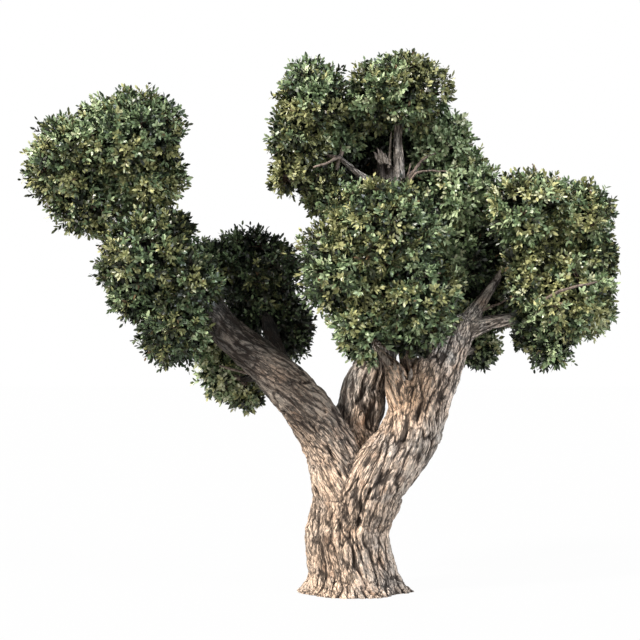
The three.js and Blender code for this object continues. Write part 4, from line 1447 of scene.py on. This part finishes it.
def bark_material(name, tan, grey, crevice_shade, red_share):
    """Bark with fine cracks along its grain, painted shade in its furrows, cracks and pits, painted
    highlights on its ridges and rims, and a slow change from tan to grey.
    """
    m = Shading(bpy.data.materials.new(name))
    grain = m.add("Attribute", attribute_name="grain").outputs["Vector"]
    furrow = m.add("Attribute", attribute_name="furrow").outputs["Fac"]
    place = m.add("TexCoord").outputs["Object"]
    x, y, z = m.add("SeparateXYZ", {"Vector": place}).outputs

    def streaks(aside, along, detail=2.0):
        return m.noise(m.scaled(grain, (aside, aside, along)), 1, detail)

    # A crack and its rim: the crack takes painted shade, the rim a painted highlight
    def crack(value, width):
        off = m.math("ABSOLUTE", m.math("SUBTRACT", value, 0.5), 0)
        inner_edge = m.between(off, 0.7 * width, width)
        rim = m.math("MULTIPLY", inner_edge, m.between(off, width, 1.7 * width, 1, 0))
        return m.between(off, 0.35 * width, width, 1, 0), rim

    streak_and_highlight = streaks(48, 8, 4)
    cracks, highlit_rims = crack(streaks(28, 5.6), 0.062)
    thin_cracks, thin_highlit_rims = crack(streaks(66, 15), 0.070)
    pit_place = {"Vector": m.scaled(grain, (46, 46, 22)), "Scale": 0.8}
    cells = m.add("TexVoronoi", pit_place).outputs["Distance"]
    speck = m.noise(place, 80, 4, 0.65)
    blotch = m.noise(place, 5.5, 4)
    pits = m.math("MULTIPLY", m.between(cells, 0.14, 0.26, 1, 0), m.between(blotch, 0.40, 0.52))

    # Tan on the old front, and greyer to the right, higher up and further back; on the right and
    # back the grey also stands for painted cool shade
    greyer, higher = m.between(x, -0.12, 0.70), m.between(z, 1.0, 2.3)
    coolness = m.math("MAXIMUM", greyer, higher, m.between(y, -0.04, 0.16))
    coolness = m.math("ADD", m.math("MULTIPLY", coolness, 0.75), 0.15)
    coolness = m.math("ADD", coolness, m.between(blotch, 0.35, 0.65, -0.35, 0.30))
    coolness = m.between(coolness, 0, 1)
    colour = m.mixed(coolness, tan, grey)
    rust = m.between(m.noise(place, 8, 3), 0.54, 0.70, 0, red_share)
    rust = m.math("MULTIPLY", rust, m.between(coolness, 0.4, 1, 1, 0.1))
    colour = m.mixed(rust, colour, RUST)
    # Pale bare wood under the snag: its own colour, made paler as painted light
    bare = m.between(m.off(place, BARE_FRONT), 0.12, 0.42, 0.8, 0)
    bare = m.math("MULTIPLY", bare, m.between(blotch, 0.3, 0.6, 0.5, 1))
    colour = m.mixed(bare, colour, BARE_AND_LIT_WOOD)

    # Light and dark, mostly painted: shade in the cracks and pits, highlights on their rims and on
    # streaks that are partly grain, then shade on whole sides of the tree that lie in shade, and a
    # painted pool of light on the upper right limb
    # Painted shadow of the foliage on the left limb, and painted shade on its inner side
    painted_limb_shadow = m.math("MULTIPLY", m.between(x, 0.00, -0.34), m.between(z, 0.98, 1.40))
    inner = m.add("VectorMath", {0: place, 1: INWARD}, operation="DOT_PRODUCT").outputs["Value"]
    inner = m.math("MULTIPLY", m.between(inner, 0.43, 0.60), m.between(x, 0.01, -0.08))
    # Painted shade in the right fork, under the foliage
    fork = m.math("MULTIPLY", m.between(x, 0.9, 1.0), m.between(z, 2.18, 2.36))
    light = m.math(
        "MULTIPLY",
        # streaks of the grain, partly painted highlight
        m.between(streak_and_highlight, 0.34, 0.66, 0.88, 1.24),
        m.between(speck, 0.3, 0.7, 0.80, 1.20),
        # painted shade in the cracks and painted highlights on their rims
        m.where(cracks, 0.28),
        m.where(thin_cracks, 0.52),
        m.where(highlit_rims, 1.34),
        m.where(thin_highlit_rims, 1.18),
        # painted shade in the pits and on the back
        m.where(pits, 0.30),
        m.between(y, 0.05, 0.25, 1, 0.42),
        # the painted shadow and shade on the left limb
        m.where(painted_limb_shadow, 0.29),
        m.where(inner, 0.58),
        # painted shade, darker towards the right
        m.between(x, 0.30, 0.55, 1, 0.90),
        # painted light on the upper right limb, which lies in the shadow of the foliage
        m.between(x, 0.60, 0.84, 1, 1.80),
        # painted shade in the right fork
        m.where(fork, 0.40),
        # painted shade in the rot holes
        *[m.between(m.off(place, spot), near, far, 0.28, 1) for spot, near, far in HOLE_SHADE],
    )
    light = m.add("CombineXYZ", {0: light, 1: light, 2: light}).outputs[0]
    colour = m.mixed(1.0, colour, light, "MULTIPLY")
    # A painted highlight on the ridges, and painted shade in the furrows and hollows, by their
    # depth
    colour = m.mixed(m.between(furrow, 0.05, -0.32, 0, 0.40), colour, RIDGE_HIGHLIGHT)
    colour = m.mixed(m.between(furrow, 0.18, 0.80, 0, 0.91), colour, crevice_shade)

    bumps = ((streak_and_highlight, 0.55), (speck, 0.5), (highlit_rims, 0.25))
    height = m.math("ADD", *[m.math("MULTIPLY", value, share) for value, share in bumps])
    dents = ((cracks, 0.55), (thin_cracks, 0.25), (pits, 0.6))
    dents = [m.math("MULTIPLY", value, share) for value, share in dents]
    height = m.math("SUBTRACT", height, *dents)
    return m.finish(colour, m.between(speck, 0.2, 0.8, 0.82, 0.98), height, 1.0, 0.009)


bark = bark_material(
    "olive_bark",
    tan=from_screen(219, 191, 167),
    grey=from_screen(175, 167, 160),
    # the painted shade of the furrows
    crevice_shade=from_screen(44, 34, 28),
    red_share=0.5,
)
print("bark nodes:", len(bark.node_tree.nodes))

# %% [markdown]
# ## The pieces of the tree
# Every piece rides on the one body of the tree and stands for the solids it dresses: three pieces
# of wood for the trunk, limbs and boughs, and for each head of foliage one piece of leaves and one
# of twigs.

# %% Wood
WOOD_NODES = {
    "lower_wood": ["trunk", "right_limb", "left_limb", "rear_limb"],
    "middle_wood": ["dead_snag", "front_bough", "left_low_bough", "left_rear_bough"],
}
rest_of_wood = [name for name in LIMBS if name not in sum(WOOD_NODES.values(), [])]
WOOD_NODES["upper_wood"] = rest_of_wood
for name, part in wood_parts.items():
    part.materials.append(bark)
    piece = new_object(name, part)
    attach(piece, "root")
    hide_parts(*WOOD_NODES[name])
print("wood stands for", sum(len(names) for names in WOOD_NODES.values()), "nodes")

# %% [markdown]
# Where limbs broke off long ago the wood is torn. The old snag ends in a blade and a row of teeth
# round a dark notch, and the stub in the crown stands up in fingers round its rot hole. A splinter
# is a blade that narrows from foot to tip, a little uneven, so each is a closed skin over a few
# small rings.

# %% Splinters: foot and tip as x, y, z, then half width and half thickness, all in millimetres
SPLINTERS = [
    ((275, -190, 1825), (150, -178, 1980), 26, 14), ((300, -205, 1775), (228, -196, 1902), 26, 13),
    ((330, -212, 1745), (312, -212, 1838), 22, 12), ((356, -205, 1715), (346, -208, 1822), 18, 12),
    ((385, -190, 1690), (378, -200, 1776), 16, 12), ((452, -150, 1690), (446, -166, 1790), 26, 14),
    ((222, 20, 3418), (158, 12, 3516), 20, 13), ((236, 12, 3424), (184, 4, 3550), 20, 13),
    ((252, 6, 3426), (212, -2, 3534), 21, 14), ((268, 12, 3420), (248, 2, 3502), 17, 12),
    ((284, 18, 3410), (290, 8, 3464), 15, 11), ((240, 66, 3416), (200, 74, 3526), 22, 12),
    ((266, 66, 3416), (240, 74, 3508), 22, 12), ((282, 24, 3390), (300, 14, 3690), 13, 10),
]
PROFILE = np.array([1, 0.96, 0.86, 0.66, 0.40, 0.10])  # its width from foot to tip
SPLINTER_SIDES = 6


def splinter(foot, tip, width, thickness, rng):
    """The closed skin of one splinter."""
    foot, tip = np.array(foot) * MM, np.array(tip) * MM
    share = np.linspace(0, 1, len(PROFILE))[:, None]
    at = foot + (tip - foot) * share + rng.normal(0, 0.0025, (len(PROFILE), 3))
    corner = np.arange(SPLINTER_SIDES) + rng.uniform(-0.2, 0.2, SPLINTER_SIDES)
    angle = corner / SPLINTER_SIDES * 2 * math.pi
    ahead = unit(tip - foot)
    across = unit(np.cross([0, 1, 0], ahead))
    beside = np.cross(ahead, across)
    grown = PROFILE * rng.uniform(0.85, 1.15, len(PROFILE)) * MM
    spoke = across * np.cos(angle)[:, None] * width + beside * np.sin(angle)[:, None] * thickness
    return closed_tube(at[:, None] + spoke[None] * grown[:, None, None])


splinters = bpy.data.meshes.new("splinters")
points, faces = [], []
for number, row in enumerate(SPLINTERS):
    skin, skin_faces = splinter(*row, np.random.default_rng(900 + number))
    faces += [[i + len(points) for i in face] for face in skin_faces]
    points += skin.tolist()
splinters.from_pydata(points, [], faces)
splinters.materials.append(dead_wood)
splinters_piece = new_object("splinters", splinters)
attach(splinters_piece, "root")
print(len(SPLINTERS), "splinters,", triangles_in(splinters), "triangles")

# %% The shape of one leaf


def leaf_of(name, outline, faces):
    """A leaf 1 long that points along X and faces Z."""
    mesh = bpy.data.meshes.new(name)
    mesh.from_pydata(outline, [], faces)
    mesh.materials.append(leaf_materials[0])
    return new_object(name, mesh)


LEAF_OUTLINE = [  # a slim ellipse, a little hollow, with its tip turned down
    (0, 0, 0), (0.30, 0.195, 0.04), (0.30, -0.195, 0.04), (0.70, 0.19, 0.035),
    (0.70, -0.19, 0.035), (1, 0, -0.05),
]
KITE_OUTLINE = [(0, 0, 0), (0.5, 0.23, 0.03), (0.5, -0.23, 0.03), (1, 0, -0.04)]
leaf_shape = leaf_of("leaf_shape", LEAF_OUTLINE, [(0, 2, 1), (1, 2, 4, 3), (3, 4, 5)])
inner_shape = leaf_of("inner_leaf_shape", KITE_OUTLINE, [(0, 2, 1), (1, 2, 3)])
print("faces of a leaf:", len(leaf_shape.data.polygons), len(inner_shape.data.polygons))

# %% Leaves of each head
leaf_triangles = {}
for head, (foot, ahead, face, size, tint, layer) in leaves.items():
    spots = bpy.data.meshes.new("spots")
    spots.from_pydata(foot.tolist(), [], [])
    stored_values = {"ahead": ahead, "face": face, "size": size, "tint": tint, "layer": layer}
    for label, values in stored_values.items():
        keep_values(spots, label, values)
    inputs = {"Leaf": leaf_shape, "Inner leaf": inner_shape}
    inputs.update(zip(TINT_INPUTS, leaf_materials))
    mesh = worked_by(leaf_tree, spots, inputs, f"{head}_leaves")
    for label in stored_values:
        mesh.attributes.remove(mesh.attributes[label])
    piece = new_object(f"{head}_leaves", mesh)
    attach(piece, "root")
    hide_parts(f"{head}_foliage")
    leaf_triangles[head] = triangles_in(mesh)
bpy.data.objects.remove(leaf_shape)
bpy.data.objects.remove(inner_shape)
print("leaf triangles:", leaf_triangles, "in all", sum(leaf_triangles.values()))

# %% Twigs of each head
THICK_SIDES, THIN_SIDES = 7, 3
THIN = 0.0045  # below this radius in metres a twig gets three sides
twig_triangles = 0
for head, rows in branches.items():
    meshes, thin = [], []
    for lines, radii in rows:
        count, steps = radii.shape
        number = np.arange(count * steps).reshape(count, steps)
        edges = np.stack([number[:, :-1], number[:, 1:]], axis=-1).reshape(-1, 2)
        mesh = bpy.data.meshes.new("lines")
        mesh.from_pydata(lines.reshape(-1, 3).tolist(), edges.tolist(), [])
        keep_values(mesh, "radius", radii.ravel())
        thin.append(bool(radii.min() < THIN))
        sides, colour = (THIN_SIDES, twig_bark) if thin[-1] else (THICK_SIDES, branch_bark)
        inputs = {"Sides": sides, "Bark": colour}
        meshes.append(worked_by(twig_tree, mesh, inputs, "twigs"))
    joined = bmesh.new()
    for number, mesh in enumerate(meshes):
        faces_before = len(joined.faces)
        joined.from_mesh(mesh)
        joined.faces.ensure_lookup_table()
        for face in joined.faces[faces_before:]:
            face.material_index = int(thin[number])
            face.smooth = True
    twigs = bpy.data.meshes.new(f"{head}_twigs")
    joined.to_mesh(twigs)
    joined.free()
    for colour in (branch_bark, twig_bark):
        twigs.materials.append(colour)
    piece = new_object(f"{head}_twigs", twigs)
    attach(piece, "root")
    twig_triangles += triangles_in(twigs)
print("twig triangles:", twig_triangles)

# %% [markdown]
# ## Floor and light
# The floor is plain and pale, and the light is that of a bright studio: a broad warm lamp at the
# front left, a cooler and weaker one at the right, and soft light from all round that leaves the
# gaps between the leaves dark.

# %% Floor
FLOOR_GLOW = 0.975  # how much of its own white the camera sees instead of the lit floor
corners = [(-40, -40, 0), (40, -40, 0), (40, 40, 0), (-40, 40, 0)]
floor_mesh = bpy.data.meshes.new("floor")
floor_mesh.from_pydata(corners, [], [(0, 1, 2, 3)])
floor = new_object("floor", floor_mesh)
paint = plain_shading("floor_paint", (170, 170, 170), 0.9)
seen = paint.add("LightPath").outputs["Is Camera Ray"]
glow = paint.add("Emission", {"Color": (1, 1, 1, 1)}).outputs["Emission"]
lit = {"Fac": paint.math("MULTIPLY", seen, FLOOR_GLOW), 1: paint.shader.outputs["BSDF"], 2: glow}
lit = paint.add("MixShader", lit).outputs["Shader"]
paint.link(lit, paint.nodes["Material Output"].inputs["Surface"])
floor_mesh.materials.append(paint.owner)
floor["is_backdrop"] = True
print("floor:", floor_mesh.materials[0].name)

# %% Lamps and the sky round them


def sun_lamp(name, toward, strength, spread, colour):
    """Soft light from far away that comes from a direction."""
    lamp = bpy.data.lights.new(name, "SUN")
    lamp.energy = strength
    lamp.angle = math.radians(spread)
    lamp.color = colour
    holder = bpy.data.objects.new(name, lamp)
    holder.rotation_euler = Vector(toward).to_track_quat("Z", "Y").to_euler()
    bpy.context.scene.collection.objects.link(holder)


sun_lamp("warm_key", (-0.76, -0.46, 0.62), 6.0, 9, (1, 0.95, 0.88))
sun_lamp("cool_fill", (0.78, -0.46, 0.50), 2.7, 26, (0.88, 0.94, 1))
sun_lamp("front_fill", (0.0, -0.85, 0.45), 0.6, 40, (1, 0.98, 0.95))
sun_lamp("back_fill", (-0.25, 0.80, 0.45), 1.1, 40, (0.95, 0.97, 1))

sky = Shading(bpy.data.worlds.new("studio"))
bpy.context.scene.world = sky.owner
soft = sky.nodes["Background"]
soft.inputs["Color"].default_value = (0.90, 0.95, 1, 1)
soft.inputs["Strength"].default_value = 0.13
white = sky.add("Background", {"Color": (1, 1, 1, 1)}).outputs["Background"]
seen = sky.add("LightPath").outputs["Is Camera Ray"]
shown = sky.add("MixShader", {"Fac": seen, 1: soft.outputs["Background"], 2: white})
sky.link(shown.outputs["Shader"], sky.nodes["World Output"].inputs["Surface"])
bpy.context.scene.view_settings.view_transform = "Standard"
print("lamps:", len(bpy.data.lights))

# %% [markdown]
# ## Sizes
# The boxes of the imported solids and of the dressed tree are printed. The dressed tree may not be
# larger than the imported solids.

# %% Sizes
shown_low, shown_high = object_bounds()
sizes = {
    "cad": [list(frame_low), list(frame_high)],
    "visual": [list(shown_low), list(shown_high)],
}
for label, (low, high) in sizes.items():
    print(label, [round(value, 3) for value in low], [round(value, 3) for value in high])
